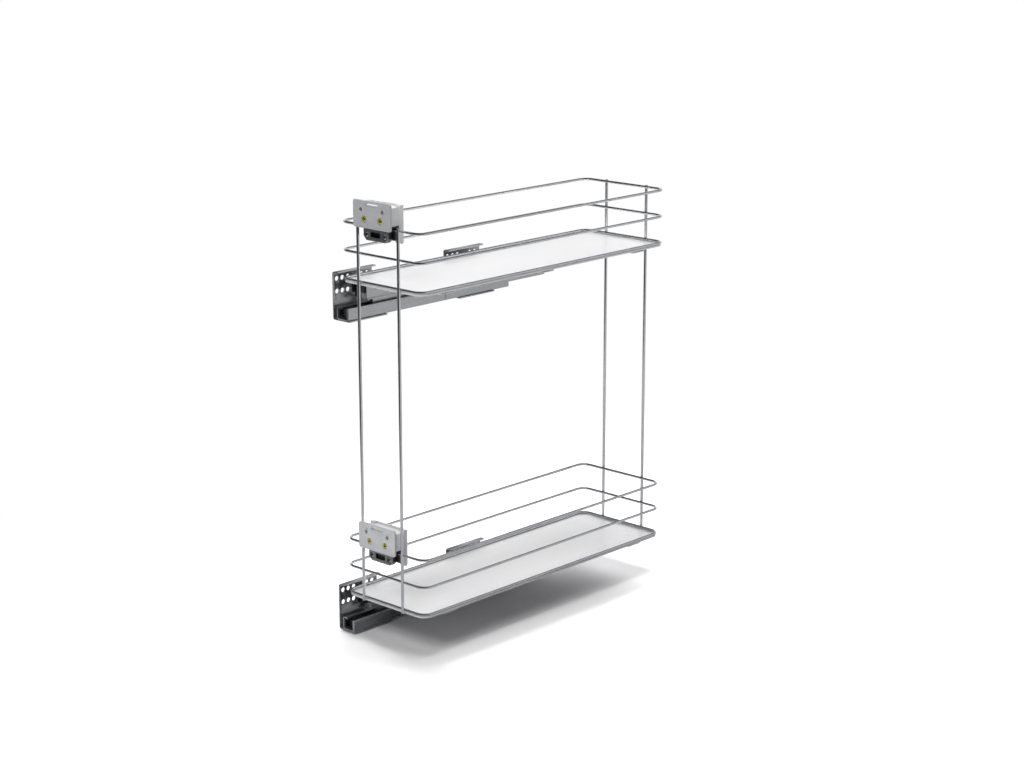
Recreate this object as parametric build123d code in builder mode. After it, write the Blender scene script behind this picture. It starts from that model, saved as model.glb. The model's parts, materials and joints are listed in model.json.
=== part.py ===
from build123d import *
import os

os.makedirs("parts", exist_ok=True)

# Two-tier pull-out basket on two telescopic runners, fixed to the left wall of a narrow cabinet.
# +X runs from the cabinet wall into the cabinet, -Y is the way the basket pulls out, +Z is up.
# The origin is the middle of the four fixing holes of the lower front wall plate, on the wall.
# All sizes are in millimetres.

# Basket
basket_width = 138.5
basket_length = 450.0
basket_wall_gap = 10.0
corner_radius = 13.0
rail_wire_d = 3.4
rail_spacing = 35.0
deck_spacing = 402.0
rod_d = 4.0
rod_spacing = 69.2
rod_overhang_top = 2.0
rod_overhang_bottom = 4.0
rod_end_chamfer = 0.5
weld_sink = 0.2

# Shelf tray and the channels under it
tray_sheet = 1.0
tray_depth = 2.6
tray_overhang = 0.7
tray_edge_radius = 0.7
seat_gap = 0.05
channel_sheet = 1.0
channel_height = 4.25
channel_web = 24.0
channel_flange = 6.0
channel_inset = 2.0
channel_end_margin = 30.0
channel_count = 3

# Wall plates
plate_sheet = 1.5
plate_length = 65.0
plate_height = 60.0
plate_flange = 9.5
plate_bend = 3.0
plate_corner = 1.5
plate_foot_margin = 1.5
plate_above_rim = 7.0
plate_behind_rim = -4.4
rear_plate_pitch = 192.0
wall_hole_d = 6.0
wall_hole_margin = 9.5
wall_hole_row_pitch = 16.0
wall_hole_pitch = 9.0
wall_hole_system = 32.0
wall_hole_first = 6.5

# Cabinet rail
rail_sheet = 1.5
rail_wall_gap = 7.5
rail_width = 20.5
rail_height = 16.5
rail_lip = 8.0
rail_right_height = 15.5
rail_hem = 3.0
rail_hem_round = 1.35
rail_length = 284.5
rail_bend = 2.0
rail_bead_d = 2.0
rail_bead_place = 168.0
rivet_d = 4.0
rivet_head_d = 7.0
rivet_head_height = 0.8
rivet_margin = 12.0
rivet_fit = 0.05

# Middle profile
profile_sheet = 1.2
middle_head_height = 7.6
middle_web = 5.0
middle_head_step = 2.8
middle_corner = 1.0
middle_front_gap = 14.0
middle_length = 314.0

# Roller tracks: the gaps that the rollers fill
track_gap = 3.2
side_gap = 2.8
lip_gap = 2.7
roller_play = 0.15
roller_length = 5.0
short_roller_length = 3.0
cage_inner_gap = 0.9
cage_sheet = 1.0
cage_window_play = 0.25
outer_cage_length = 138.0
inner_cage_length = 165.0
outer_cage_place = 114.5
inner_cage_place = 108.1
cage_end_margin = 12.0
main_roller_count = 4
side_roller_count = 3

# Drawer profile, which carries the basket
drawer_wall_depth = 22.5
drawer_left_lip = 4.0
drawer_hem = 1.5
drawer_flange = 8.8
drawer_bend = 1.5
drawer_length = 402.0
drawer_behind_rim = 28.0
guide_length = 7.0
guide_fit = 0.15
guide_play = 0.4
guide_end_inset = 0.5
pin_d = 5.0
pin_head_d = 8.0
pin_head_height = 1.5
pin_fit = 0.05
keyhole_slide = 9.0
keyhole_play = 0.3
keyhole_offset = 5.0

# Front catch with its release lever
catch_width = 9.8
catch_nose = 14.5
catch_drop = 12.3
catch_plug = 13.0
catch_rise = 2.0
catch_corner = 2.5
catch_fit = 0.2
cut_margin = 1.0
lever_width = 5.0
lever_play = 0.3
lever_thickness = 2.4
lever_hub_d = 5.6
lever_pin_d = 2.0
lever_pin_play = 0.05
lever_finger_length = 16.0
lever_bend_depth = 9.6
lever_nose_gap = 0.3
lever_nose_height = 3.6
lever_pivot_back = 5.6
lever_pivot_height = -2.0

# Front bracket
front_plate_width = 63.6
front_plate_height = 33.3
front_plate_sheet = 2.5
front_plate_rim = 1.4
front_plate_relief = 0.5
front_plate_corner = 3.0
front_plate_reach = 13.5
front_slot_width = 20.5
front_slot_height = 3.0
front_slot_rise = 28.5
door_hole_d = 5.0
door_hole_pad_d = 9.5
door_hole_spacing = 37.0
door_hole_rise = 22.2
adjust_screw_spacing = 27.4
adjust_screw_rise = 10.8
adjust_screw_head_d = 7.8
adjust_screw_head_height = 1.8
adjust_screw_d = 3.8
adjust_screw_length = 7.0
adjust_travel = 2.0
adjust_play = 0.3
head_pocket_play = 0.3
head_pocket_depth = 1.5
sliding_gap = 0.2
nut_plate_sheet = 3.0
nut_plate_margin = 4.0
nut_plate_height = 5.8
nut_plate_corner = 1.5
housing_width = 58.0
housing_depth = 20.9
housing_sheet = 2.0
housing_top = 28.0
housing_flange_rise = 2.0
housing_flange_proud = 0.8
housing_skirt = 5.6
housing_rebate = 0.8
housing_rebate_top = 14.0
housing_edge = 1.0
housing_rib = 1.6
housing_rib_spacing = 16.0
door_slot_width = 6.0
door_slot_length = 7.4
finger_width = 7.5
finger_depth = 5.9
finger_drop = 16.4
finger_tip_round = 2.8
pad_width = 48.0
pad_drop = 13.0
pad_edge = 0.8
cover_rise = 3.4
wire_seat_gap = 0.05
jaw_width = 42.0
jaw_drop = 15.7
jaw_rise = 3.0
jaw_front = 7.6
jaw_back = 1.2
jaw_bevel = 5.0
jaw_edge = 0.8
jaw_recess_width = 17.0
jaw_recess_height = 6.5
jaw_recess_depth = 3.0
clamp_screw_spacing = 30.5
clamp_screw_drop = 8.7
clamp_screw_head_d = 7.0
clamp_screw_head_height = 2.4
clamp_screw_d = 4.0
clamp_screw_length = 16.0
clamp_screw_proud = 0.6
screw_fit = 0.1
screw_head_round = 0.7
cross_width = 1.0
cross_share = 0.62
cross_depth = 1.0

# Heights, measured on the lower deck
wall_pattern_height = wall_hole_row_pitch / 2
plate_top = wall_hole_margin + wall_pattern_height
plate_bottom = plate_top - plate_height
rim_z = plate_top - plate_above_rim
rail_bottom = plate_bottom + plate_sheet
rail_floor = rail_bottom + rail_sheet
rail_top = rail_bottom + rail_height
rail_ceiling = rail_top - rail_sheet
tray_top = rim_z - rail_wire_d / 2 - seat_gap
tray_under = tray_top - tray_sheet
channel_bottom = tray_under - channel_height
drawer_top = channel_bottom
drawer_ceiling = drawer_top - profile_sheet
middle_bottom = rail_floor + track_gap
middle_foot_top = rail_ceiling - lip_gap
middle_top = drawer_ceiling - track_gap
middle_head_bottom = middle_top - middle_head_height
drawer_lip_top = middle_head_bottom - lip_gap

# Places across the runner, from the wall
rail_left = rail_wall_gap
rail_right = rail_left + rail_width
track_left = rail_left + rail_sheet
track_right = rail_right - rail_hem
middle_left = track_left + side_gap
middle_right = track_right - side_gap
middle_web_left = middle_right - middle_web
middle_head_left = middle_left + middle_head_step
drawer_inner_left = middle_head_left - side_gap
drawer_inner_right = middle_right + side_gap
drawer_left = drawer_inner_left - profile_sheet
drawer_right = drawer_inner_right + profile_sheet

# Places along the pull, from the wall pattern
wall_columns = [
    wall_hole_first,
    wall_hole_first + wall_hole_pitch,
    wall_hole_first + 2 * wall_hole_pitch,
    wall_hole_first + wall_hole_pitch + wall_hole_system,
    wall_hole_first + 2 * wall_hole_pitch + wall_hole_system,
]
plate_front = -(wall_columns[1] + wall_columns[3]) / 2
basket_front = plate_front - plate_behind_rim
drawer_front = basket_front + drawer_behind_rim
drawer_back = drawer_front + drawer_length
middle_front = drawer_front + middle_front_gap

# Release lever places: its nose stands just in front of the first cross channel's wall
lever_x = drawer_inner_right - catch_width / 2
lever_y = drawer_front - catch_nose + lever_pivot_back
lever_reach = drawer_front + channel_flange - lever_nose_gap
lever_room = lever_reach + 4 * lever_play

# Basket places
basket_x = basket_wall_gap + rail_wire_d / 2 + basket_width / 2
basket_y = basket_front + basket_length / 2
rod_offset = rail_wire_d / 2 + rod_d / 2 - weld_sink
decks = {"lower": 0.0, "upper": deck_spacing}


def cross_section(y):
    """A plane across the runner at y: sketch x is X, sketch y is Z, and the far side faces the front."""
    return Plane(origin=(0, y, 0), x_dir=(1, 0, 0), z_dir=(0, -1, 0))


def side_section(x):
    """A plane along the runner at x: sketch x is Y, sketch y is Z, and an extrusion grows along +X."""
    return Plane(origin=(x, 0, 0), x_dir=(0, 1, 0), z_dir=(1, 0, 0))


def corners_at(*points):
    """The corners of the sketch in hand that lie on the given points."""
    return [v for v in vertices() if any(abs(v.X - x) < 0.001 and abs(v.Y - y) < 0.001 for x, y in points)]


def keep(builder, name):
    """Labels a finished piece and writes it under its node's name."""
    builder.part.label = name
    export_step(builder.part, f"parts/{name}.step")


def spread(start, end, count):
    """Evenly spaced places from start to end."""
    return [start + (end - start) * i / (count - 1) for i in range(count)]


def rivet_places(deck_front):
    """Where the two rivets of a wall plate stand along the pull."""
    return [deck_front + rivet_margin, deck_front + plate_length - rivet_margin]


rivet_x = (track_left + track_right) / 2


def wall_plate(name, front, z):
    """Bent sheet plate that is screwed to the cabinet wall and carries the rail on its foot."""
    top = plate_top + z
    bottom = plate_bottom + z
    foot = rail_right + plate_foot_margin
    with BuildPart() as plate:
        with BuildSketch(cross_section(front)):
            with BuildLine():
                Polyline(
                    (0, top),
                    (plate_flange, top),
                    (plate_flange, top - plate_sheet),
                    (plate_sheet, top - plate_sheet),
                    (plate_sheet, bottom + plate_sheet),
                    (foot, bottom + plate_sheet),
                    (foot, bottom),
                    (0, bottom),
                    close=True,
                )
            make_face()
            fillet(corners_at((0, top), (0, bottom)), plate_bend)
            inner = [(plate_sheet, top - plate_sheet), (plate_sheet, bottom + plate_sheet)]
            fillet(corners_at(*inner), plate_bend - plate_sheet)
        extrude(amount=-plate_length)
        free_corners = plate.edges().filter_by(Axis.Z).filter_by(lambda e: e.center().X > plate_bend)
        fillet(free_corners, plate_corner)
        with BuildSketch(side_section(0)):
            rows = [z - wall_pattern_height, z + wall_pattern_height]
            with Locations(*[(front + column, row) for column in wall_columns for row in rows]):
                Circle(wall_hole_d / 2)
        extrude(amount=plate_sheet, mode=Mode.SUBTRACT)
        with BuildSketch(Plane.XY.offset(bottom)):
            with Locations(*[(rivet_x, y) for y in rivet_places(front)]):
                Circle(rivet_d / 2 + rivet_fit)
        extrude(amount=plate_sheet, mode=Mode.SUBTRACT)
    keep(plate, name)


def cabinet_rail(name, z):
    """Roll-formed fixed rail: a channel with a lip over its left half and a folded right wall."""
    bottom = rail_bottom + z
    top = rail_top + z
    right_top = bottom + rail_right_height
    with BuildPart() as rail:
        with BuildSketch(cross_section(plate_front)):
            with BuildLine():
                Polyline(
                    (rail_left, bottom),
                    (rail_right, bottom),
                    (rail_right, right_top),
                    (track_right, right_top),
                    (track_right, bottom + rail_sheet),
                    (track_left, bottom + rail_sheet),
                    (track_left, top - rail_sheet),
                    (rail_left + rail_lip, top - rail_sheet),
                    (rail_left + rail_lip, top),
                    (rail_left, top),
                    close=True,
                )
            make_face()
            fillet(corners_at((rail_left, bottom), (rail_right, bottom), (rail_left, top)), rail_bend)
            inner = [(track_left, bottom + rail_sheet), (track_left, top - rail_sheet)]
            fillet(corners_at(*inner), rail_bend - rail_sheet)
            fillet(corners_at((rail_right, right_top), (track_right, right_top)), rail_hem_round)
        extrude(amount=-rail_length)
        places = rivet_places(plate_front) + rivet_places(plate_front + rear_plate_pitch)
        with Locations(*[(rivet_x, y, rail_floor + z) for y in places]):
            CounterSinkHole(rivet_d / 2 + rivet_fit, rivet_head_d / 2, depth=rail_sheet)
        with BuildSketch(Plane.XY.offset(bottom + rail_bend)):
            with Locations((rail_right, plate_front + rail_bead_place)):
                Circle(rail_bead_d / 2)
        extrude(amount=rail_right_height - 2 * rail_bend)
    keep(rail, name)


def rail_rivets(name, z):
    """Flush rivets that close the rail's floor onto the feet of both wall plates."""
    places = rivet_places(plate_front) + rivet_places(plate_front + rear_plate_pitch)
    flush = rail_floor + z - seat_gap
    sink = rivet_head_d / 2 - rivet_d / 2
    with BuildPart() as rivets:
        with BuildSketch(Plane.XY.offset(plate_bottom + z)):
            with Locations(*[(rivet_x, y) for y in places]):
                Circle(rivet_d / 2)
        extrude(amount=flush - plate_bottom - z)
        with Locations(*[(rivet_x, y, flush) for y in places]):
            Cone(
                rivet_d / 2 - seat_gap,
                rivet_head_d / 2 - 2 * seat_gap,
                sink,
                align=(Align.CENTER, Align.CENTER, Align.MAX),
            )
        with BuildSketch(Plane.XY.offset(plate_bottom + z - seat_gap)):
            with Locations(*[(rivet_x, y) for y in places]):
                Circle(rivet_head_d / 2)
        extrude(amount=-rivet_head_height)
        with BuildSketch(Plane.XY.offset(plate_bottom + z)):
            with Locations(*[(rivet_x, y) for y in places]):
                Circle(rivet_d / 2)
        extrude(amount=-rivet_head_height)
    keep(rivets, name)


def middle_outline(z):
    """Corner points of the middle profile: a foot in the rail, a web, and a head in the drawer profile."""
    return [
        (middle_left, middle_bottom + z),
        (middle_right, middle_bottom + z),
        (middle_right, middle_top + z),
        (middle_head_left, middle_top + z),
        (middle_head_left, middle_head_bottom + z),
        (middle_web_left, middle_head_bottom + z),
        (middle_web_left, middle_foot_top + z),
        (middle_left, middle_foot_top + z),
    ]


def middle_profile(name, z):
    """Closed roll-formed profile that runs in the rail and carries the drawer profile."""
    with BuildPart() as middle:
        with BuildSketch(cross_section(middle_front)):
            with BuildLine():
                Polyline(*middle_outline(z), close=True)
            make_face()
            fillet(corners_at(*middle_outline(z)), middle_corner)
            offset(amount=-profile_sheet, kind=Kind.INTERSECTION, mode=Mode.SUBTRACT)
        extrude(amount=-middle_length)
    keep(middle, name)


def rail_front_guide(name, z):
    """Plastic guide in the rail's mouth, cut to the middle profile's foot."""
    low = rail_floor + z + guide_fit
    high = rail_ceiling + z - guide_fit
    with BuildPart() as guide:
        with BuildSketch(cross_section(plate_front + guide_end_inset)):
            with BuildLine():
                Polyline(
                    (track_left + guide_fit, low),
                    (track_right - guide_fit, low),
                    (track_right - guide_fit, high),
                    (track_left + guide_fit, high),
                    close=True,
                )
            make_face()
        extrude(amount=-guide_length)
        with BuildSketch(cross_section(plate_front)):
            with BuildLine():
                Polyline(*middle_outline(z), close=True)
            make_face()
            offset(amount=guide_play, kind=Kind.INTERSECTION)
        extrude(amount=-guide_length - 2 * guide_end_inset, mode=Mode.SUBTRACT)
    keep(guide, name)


def drawer_profile(name, z):
    """Top runner member: an inverted channel with a screw flange, hooked under the middle profile's head."""
    top = drawer_top + z
    ceiling = drawer_ceiling + z
    lip_top = drawer_lip_top + z
    foot = top - drawer_wall_depth
    flange_end = drawer_right + drawer_flange
    with BuildPart() as drawer:
        with BuildSketch(cross_section(drawer_front)):
            with BuildLine():
                Polyline(
                    (drawer_left, top),
                    (flange_end, top),
                    (flange_end, ceiling),
                    (drawer_right, ceiling),
                    (drawer_right, foot + profile_sheet),
                    (drawer_right + drawer_hem, foot + profile_sheet),
                    (drawer_right + drawer_hem, foot),
                    (drawer_inner_right, foot),
                    (drawer_inner_right, ceiling),
                    (drawer_inner_left, ceiling),
                    (drawer_inner_left, lip_top),
                    (drawer_inner_left + drawer_left_lip, lip_top),
                    (drawer_inner_left + drawer_left_lip, lip_top - profile_sheet),
                    (drawer_left, lip_top - profile_sheet),
                    close=True,
                )
            make_face()
            fillet(corners_at((drawer_left, top), (drawer_left, lip_top - profile_sheet)), drawer_bend)
        extrude(amount=-drawer_length)
        with BuildSketch(Plane.XY.offset(ceiling)):
            with Locations((lever_x, drawer_front)):
                Rectangle(lever_width + 4 * lever_play, 2 * (lever_room - drawer_front))
        extrude(amount=profile_sheet, mode=Mode.SUBTRACT)
        with BuildSketch(Plane.XY.offset(ceiling)):
            with Locations(*pin_places()):
                Circle(pin_d / 2 + pin_fit)
        extrude(amount=profile_sheet, mode=Mode.SUBTRACT)
    keep(drawer, name)


def drawer_rear_guide(name, z):
    """Plastic guide in the back end of the drawer profile, cut to the middle profile's head."""
    low = drawer_lip_top + z + guide_fit
    high = drawer_ceiling + z - guide_fit
    back = drawer_back - guide_end_inset
    with BuildPart() as guide:
        with BuildSketch(cross_section(back - guide_length)):
            with BuildLine():
                Polyline(
                    (drawer_inner_left + guide_fit, low),
                    (drawer_inner_right - guide_fit, low),
                    (drawer_inner_right - guide_fit, high),
                    (drawer_inner_left + guide_fit, high),
                    close=True,
                )
            make_face()
        extrude(amount=-guide_length)
        with BuildSketch(cross_section(back - guide_length)):
            with BuildLine():
                Polyline(*middle_outline(z), close=True)
            make_face()
            offset(amount=guide_play, kind=Kind.INTERSECTION)
        extrude(amount=-guide_length, mode=Mode.SUBTRACT)
    keep(guide, name)


def pin_places():
    """Where the locating pins stand on the drawer profile's flange, one under each cross channel."""
    x = drawer_right + drawer_flange / 2
    return [(x, y - keyhole_offset) for y in channel_places()]


def channel_places():
    """Middles of the cross channels along the pull."""
    front = drawer_front + channel_web / 2 + channel_flange
    back = drawer_back - channel_end_margin
    return spread(front, back, channel_count)


def locating_pins(name, z):
    """Headed pins, riveted in the drawer profile's flange, that hold the cross channels in their keyholes."""
    top = drawer_top + z
    head_under = top + channel_sheet + keyhole_play
    with BuildPart() as pins:
        with BuildSketch(Plane.XY.offset(drawer_ceiling + z - pin_head_height)):
            with Locations(*pin_places()):
                Circle(pin_head_d / 2)
        extrude(amount=pin_head_height - seat_gap)
        with BuildSketch(Plane.XY.offset(drawer_ceiling + z - pin_head_height)):
            with Locations(*pin_places()):
                Circle(pin_d / 2)
        extrude(amount=head_under - drawer_ceiling - z + 2 * pin_head_height)
        with BuildSketch(Plane.XY.offset(head_under)):
            with Locations(*pin_places()):
                Circle(pin_head_d / 2)
        extrude(amount=pin_head_height)
    keep(pins, name)


def cross_channels(name, z):
    """Hat-section channels under the tray that bring its load onto the drawer profile."""
    bottom = channel_bottom + z
    top = bottom + channel_height - seat_gap
    left = basket_x - basket_width / 2 + channel_inset
    half = channel_web / 2
    wing = half + channel_flange
    with BuildPart() as channels:
        for place in channel_places():
            with BuildSketch(side_section(left)):
                with BuildLine():
                    Polyline(
                        (place - half, bottom),
                        (place + half, bottom),
                        (place + half, top - channel_sheet),
                        (place + wing, top - channel_sheet),
                        (place + wing, top),
                        (place + half - channel_sheet, top),
                        (place + half - channel_sheet, bottom + channel_sheet),
                        (place - half + channel_sheet, bottom + channel_sheet),
                        (place - half + channel_sheet, top),
                        (place - wing, top),
                        (place - wing, top - channel_sheet),
                        (place - half, top - channel_sheet),
                        close=True,
                    )
                make_face()
            extrude(amount=basket_width - 2 * channel_inset)
        with BuildSketch(Plane.XY.offset(bottom)):
            with Locations(*pin_places()):
                Circle(pin_d / 2 + keyhole_play)
            with Locations(*[(x, y + keyhole_slide) for x, y in pin_places()]):
                Circle(pin_head_d / 2 + keyhole_play)
            with Locations(*[(x, y + keyhole_slide / 2) for x, y in pin_places()]):
                Rectangle(pin_d + 2 * keyhole_play, keyhole_slide)
        extrude(amount=channel_sheet, mode=Mode.SUBTRACT)
    keep(channels, name)


def shelf_tray(name, z):
    """Pressed sheet shelf with a turned-down edge, under the rim wire."""
    width = basket_width + 2 * tray_overhang
    length = basket_length + 2 * tray_overhang
    radius = corner_radius + tray_overhang
    with BuildPart() as tray:
        with BuildSketch(Plane.XY.offset(tray_top + z)):
            with Locations((basket_x, basket_y)):
                RectangleRounded(width, length, radius)
        extrude(amount=-tray_depth)
        fillet(tray.faces().sort_by(Axis.Z)[-1].edges(), tray_edge_radius)
        with BuildSketch(Plane.XY.offset(tray_top + z - tray_depth)):
            with Locations((basket_x, basket_y)):
                RectangleRounded(width - 2 * tray_sheet, length - 2 * tray_sheet, radius - tray_sheet)
        extrude(amount=tray_depth - tray_sheet, mode=Mode.SUBTRACT)
    keep(tray, name)


def wire_ring(name, z):
    """One welded ring of round wire with rounded corners."""
    with BuildSketch(Plane.XY.offset(z)) as outline:
        with Locations((basket_x, basket_y)):
            RectangleRounded(basket_width, basket_length, corner_radius)
    path = outline.sketch.faces()[0].outer_wire()
    with BuildPart() as ring:
        with BuildSketch(Plane(origin=path @ 0, z_dir=path % 0)):
            Circle(rail_wire_d / 2)
        sweep(path=path)
    keep(ring, name)


def upright_rod(name, x, y):
    """Vertical wire rod that joins the rings of both decks."""
    low = rim_z - rod_overhang_bottom
    high = rim_z + deck_spacing + 2 * rail_spacing + rod_overhang_top
    with BuildPart() as rod:
        with BuildSketch(Plane.XY.offset(low)):
            with Locations((x, y)):
                Circle(rod_d / 2)
        extrude(amount=high - low)
        chamfer(rod.edges().filter_by(GeomType.CIRCLE), rod_end_chamfer)
    keep(rod, name)


def cage(name, rollers_name, box, mouth, front, length, upside_down, z):
    """Roller cage round one end of the middle profile, and the rollers in its windows."""
    left, right, low, high = box
    inner = cage_inner_gap
    outer = cage_inner_gap + cage_sheet
    sign = -1 if upside_down else 1
    base = (high if upside_down else low) + z
    far = (low if upside_down else high) + z
    base_in, base_out = base - sign * inner, base - sign * outer
    far_in, far_out = far + sign * inner, far + sign * outer
    main_z = base - sign * track_gap / 2
    lip_z = far + sign * lip_gap / 2
    side_z = (base + far) / 2
    main_x = (middle_web_left + middle_right) / 2
    lip_x = (left + mouth) / 2 - side_gap / 4
    main_r = track_gap / 2 - roller_play
    lip_r = lip_gap / 2 - roller_play
    side_r = side_gap / 2 - roller_play
    mains = spread(front + cage_end_margin, front + length - cage_end_margin, main_roller_count)
    gap = (mains[1] - mains[0]) / 2
    sides = spread(mains[0] + gap, mains[-1] - gap, side_roller_count)
    play = cage_window_play
    depth = 2 * outer
    with BuildPart() as strip:
        with BuildSketch(cross_section(front)):
            with BuildLine():
                Polyline(
                    (right + outer, far),
                    (right + outer, base_out),
                    (left - outer, base_out),
                    (left - outer, far_out),
                    (mouth, far_out),
                    (mouth, far_in),
                    (left - inner, far_in),
                    (left - inner, base_in),
                    (right + inner, base_in),
                    (right + inner, far),
                    close=True,
                )
            make_face()
        extrude(amount=-length)
        with Locations(*[(main_x, y, main_z) for y in mains]):
            Box(roller_length + 2 * play, 2 * (main_r + play), depth, mode=Mode.SUBTRACT)
        with Locations(*[(lip_x, y, lip_z) for y in sides]):
            Box(short_roller_length + 2 * play, 2 * (lip_r + play), depth, mode=Mode.SUBTRACT)
        side_x = [left - side_gap / 2, right + side_gap / 2]
        with Locations(*[(x, y, side_z) for y in sides for x in side_x]):
            Box(depth, 2 * (side_r + play), roller_length + 2 * play, mode=Mode.SUBTRACT)
    keep(strip, name)
    with BuildPart() as rollers:
        with Locations(*[(main_x, y, main_z) for y in mains]):
            Cylinder(main_r, roller_length, rotation=(0, 90, 0))
        with Locations(*[(lip_x, y, lip_z) for y in sides]):
            Cylinder(lip_r, short_roller_length, rotation=(0, 90, 0))
        with Locations(*[(x, y, side_z) for y in sides for x in side_x]):
            Cylinder(side_r, roller_length)
    keep(rollers, rollers_name)


def front_catch(name, z):
    """Plastic catch plugged into the drawer profile's front end, forked round the release lever."""
    front = drawer_front - catch_nose
    left = drawer_inner_right - catch_width
    plug_top = drawer_ceiling + z - catch_fit
    nose_top = drawer_top + z + catch_rise
    bottom = drawer_top + z - catch_drop
    plug_bottom = drawer_lip_top + z + catch_fit
    pivot_z = drawer_top + z + lever_pivot_height
    slot = lever_width + 2 * lever_play
    with BuildPart() as catch:
        with BuildSketch(side_section(left)):
            with BuildLine():
                Polyline(
                    (front, bottom),
                    (drawer_front - catch_fit, bottom),
                    (drawer_front - catch_fit, nose_top),
                    (front, nose_top),
                    close=True,
                )
            make_face()
            fillet(corners_at((front, bottom), (front, nose_top)), catch_corner)
        extrude(amount=catch_width)
        with BuildSketch(cross_section(drawer_front - catch_fit)):
            with BuildLine():
                Polyline(
                    (drawer_inner_left + catch_fit, plug_bottom),
                    (drawer_inner_right - catch_fit, plug_bottom),
                    (drawer_inner_right - catch_fit, plug_top),
                    (drawer_inner_left + catch_fit, plug_top),
                    close=True,
                )
            make_face()
        extrude(amount=-catch_plug)
        with BuildSketch(side_section(lever_x - slot / 2)):
            with BuildLine():
                Polyline(
                    (front - cut_margin, bottom - cut_margin),
                    (drawer_front - catch_fit - lever_thickness, bottom - cut_margin),
                    (drawer_front - catch_fit - lever_thickness, pivot_z - lever_hub_d),
                    (lever_room, pivot_z - lever_hub_d),
                    (lever_room, nose_top + cut_margin),
                    (front - cut_margin, nose_top + cut_margin),
                    close=True,
                )
            make_face()
        extrude(amount=slot, mode=Mode.SUBTRACT)
        with BuildSketch(side_section(left)):
            with Locations((lever_y, pivot_z)):
                Circle(lever_pin_d / 2)
        extrude(amount=catch_width, mode=Mode.SUBTRACT)
    keep(catch, name)


def catch_lever(name, z):
    """Two-armed release lever: a finger below, and a nose that stops the front cross channel."""
    pivot_z = drawer_top + z + lever_pivot_height
    half = lever_thickness / 2
    with BuildPart() as lever:
        with BuildSketch(side_section(lever_x - lever_width / 2)):
            with Locations((lever_y, pivot_z)):
                Circle(lever_hub_d / 2)
            with BuildLine():
                Polyline(
                    (lever_y, pivot_z + half),
                    (lever_reach - lever_thickness, pivot_z + half),
                    (lever_reach - lever_thickness, pivot_z + lever_nose_height + half),
                    (lever_reach - half, pivot_z + lever_nose_height + half),
                    (lever_reach, pivot_z + half),
                    (lever_reach, pivot_z - half),
                    (lever_y, pivot_z - half),
                    close=True,
                )
            make_face()
            with BuildLine():
                Bezier(
                    (lever_y, pivot_z),
                    (lever_y, pivot_z - lever_bend_depth),
                    (lever_y - lever_thickness, pivot_z - lever_finger_length + half),
                )
            trace(line_width=lever_thickness)
            with Locations((lever_y, pivot_z)):
                Circle(lever_pin_d / 2 + lever_pin_play, mode=Mode.SUBTRACT)
        extrude(amount=lever_width)
    keep(lever, name)


def catch_pin(name, z):
    """Steel pin on which the release lever turns."""
    pivot_z = drawer_top + z + lever_pivot_height
    with BuildPart() as pin:
        with BuildSketch(side_section(drawer_inner_right - catch_width + catch_fit)):
            with Locations((lever_y, pivot_z)):
                Circle(lever_pin_d / 2 - lever_pin_play / 2)
        extrude(amount=catch_width - 2 * catch_fit)
    keep(pin, name)


def mirrored(half, rise):
    """Two places, left and right of the basket's middle line, at one height."""
    return [(basket_x - half, rise), (basket_x + half, rise)]


def cross_head_screws(name, places, head_y, head_d, head_height, shank_d, shank_length):
    """Cross-head screws that face the front, driven along +Y."""
    cross_length = head_d * cross_share
    with BuildPart() as screws:
        with BuildSketch(cross_section(head_y)):
            with Locations(*places):
                Circle(head_d / 2)
        extrude(amount=-head_height)
        fillet(screws.edges().filter_by(GeomType.CIRCLE).group_by(Axis.Y)[0], screw_head_round)
        with BuildSketch(cross_section(head_y + head_height)):
            with Locations(*places):
                Circle(shank_d / 2)
        extrude(amount=-shank_length)
        with BuildSketch(cross_section(head_y)):
            with Locations(*places):
                Rectangle(cross_length, cross_width)
                Rectangle(cross_width, cross_length)
        extrude(amount=-cross_depth, mode=Mode.SUBTRACT)
    keep(screws, name)


def front_plate(name, rail_z):
    """Face plate that the cabinet's front is screwed to, with a raised border."""
    front = basket_front - front_plate_reach
    face = front + front_plate_relief
    middle = rail_z + front_plate_height / 2
    rim = 2 * front_plate_rim
    with BuildPart() as plate:
        with BuildSketch(cross_section(front)):
            with Locations((basket_x, middle)):
                RectangleRounded(front_plate_width, front_plate_height, front_plate_corner)
        extrude(amount=-front_plate_relief - front_plate_sheet)
        fillet(plate.faces().sort_by(Axis.Y)[0].edges(), front_plate_relief)
        with BuildSketch(cross_section(front)):
            with Locations((basket_x, middle)):
                RectangleRounded(
                    front_plate_width - rim, front_plate_height - rim, front_plate_corner - front_plate_rim
                )
            with Locations(*mirrored(door_hole_spacing / 2, rail_z + door_hole_rise)):
                Circle(door_hole_pad_d / 2, mode=Mode.SUBTRACT)
        extrude(amount=-front_plate_relief, mode=Mode.SUBTRACT)
        with BuildSketch(cross_section(front)):
            with Locations(*mirrored(door_hole_spacing / 2, rail_z + door_hole_rise)):
                Circle(door_hole_d / 2)
            with Locations((basket_x, rail_z + front_slot_rise)):
                SlotOverall(front_slot_width, front_slot_height)
            with Locations(*mirrored(adjust_screw_spacing / 2, rail_z + adjust_screw_rise)):
                Circle(adjust_screw_d / 2 + screw_fit)
        extrude(amount=-front_plate_relief - front_plate_sheet, mode=Mode.SUBTRACT)
        with BuildSketch(cross_section(face)):
            with Locations(*mirrored(adjust_screw_spacing / 2, rail_z + adjust_screw_rise)):
                Circle(adjust_screw_head_d / 2 + head_pocket_play)
        extrude(amount=-head_pocket_depth, mode=Mode.SUBTRACT)
    keep(plate, name)


plate_back = basket_front - front_plate_reach + front_plate_relief + front_plate_sheet
housing_front = plate_back + sliding_gap
housing_back = housing_front + housing_depth


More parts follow.
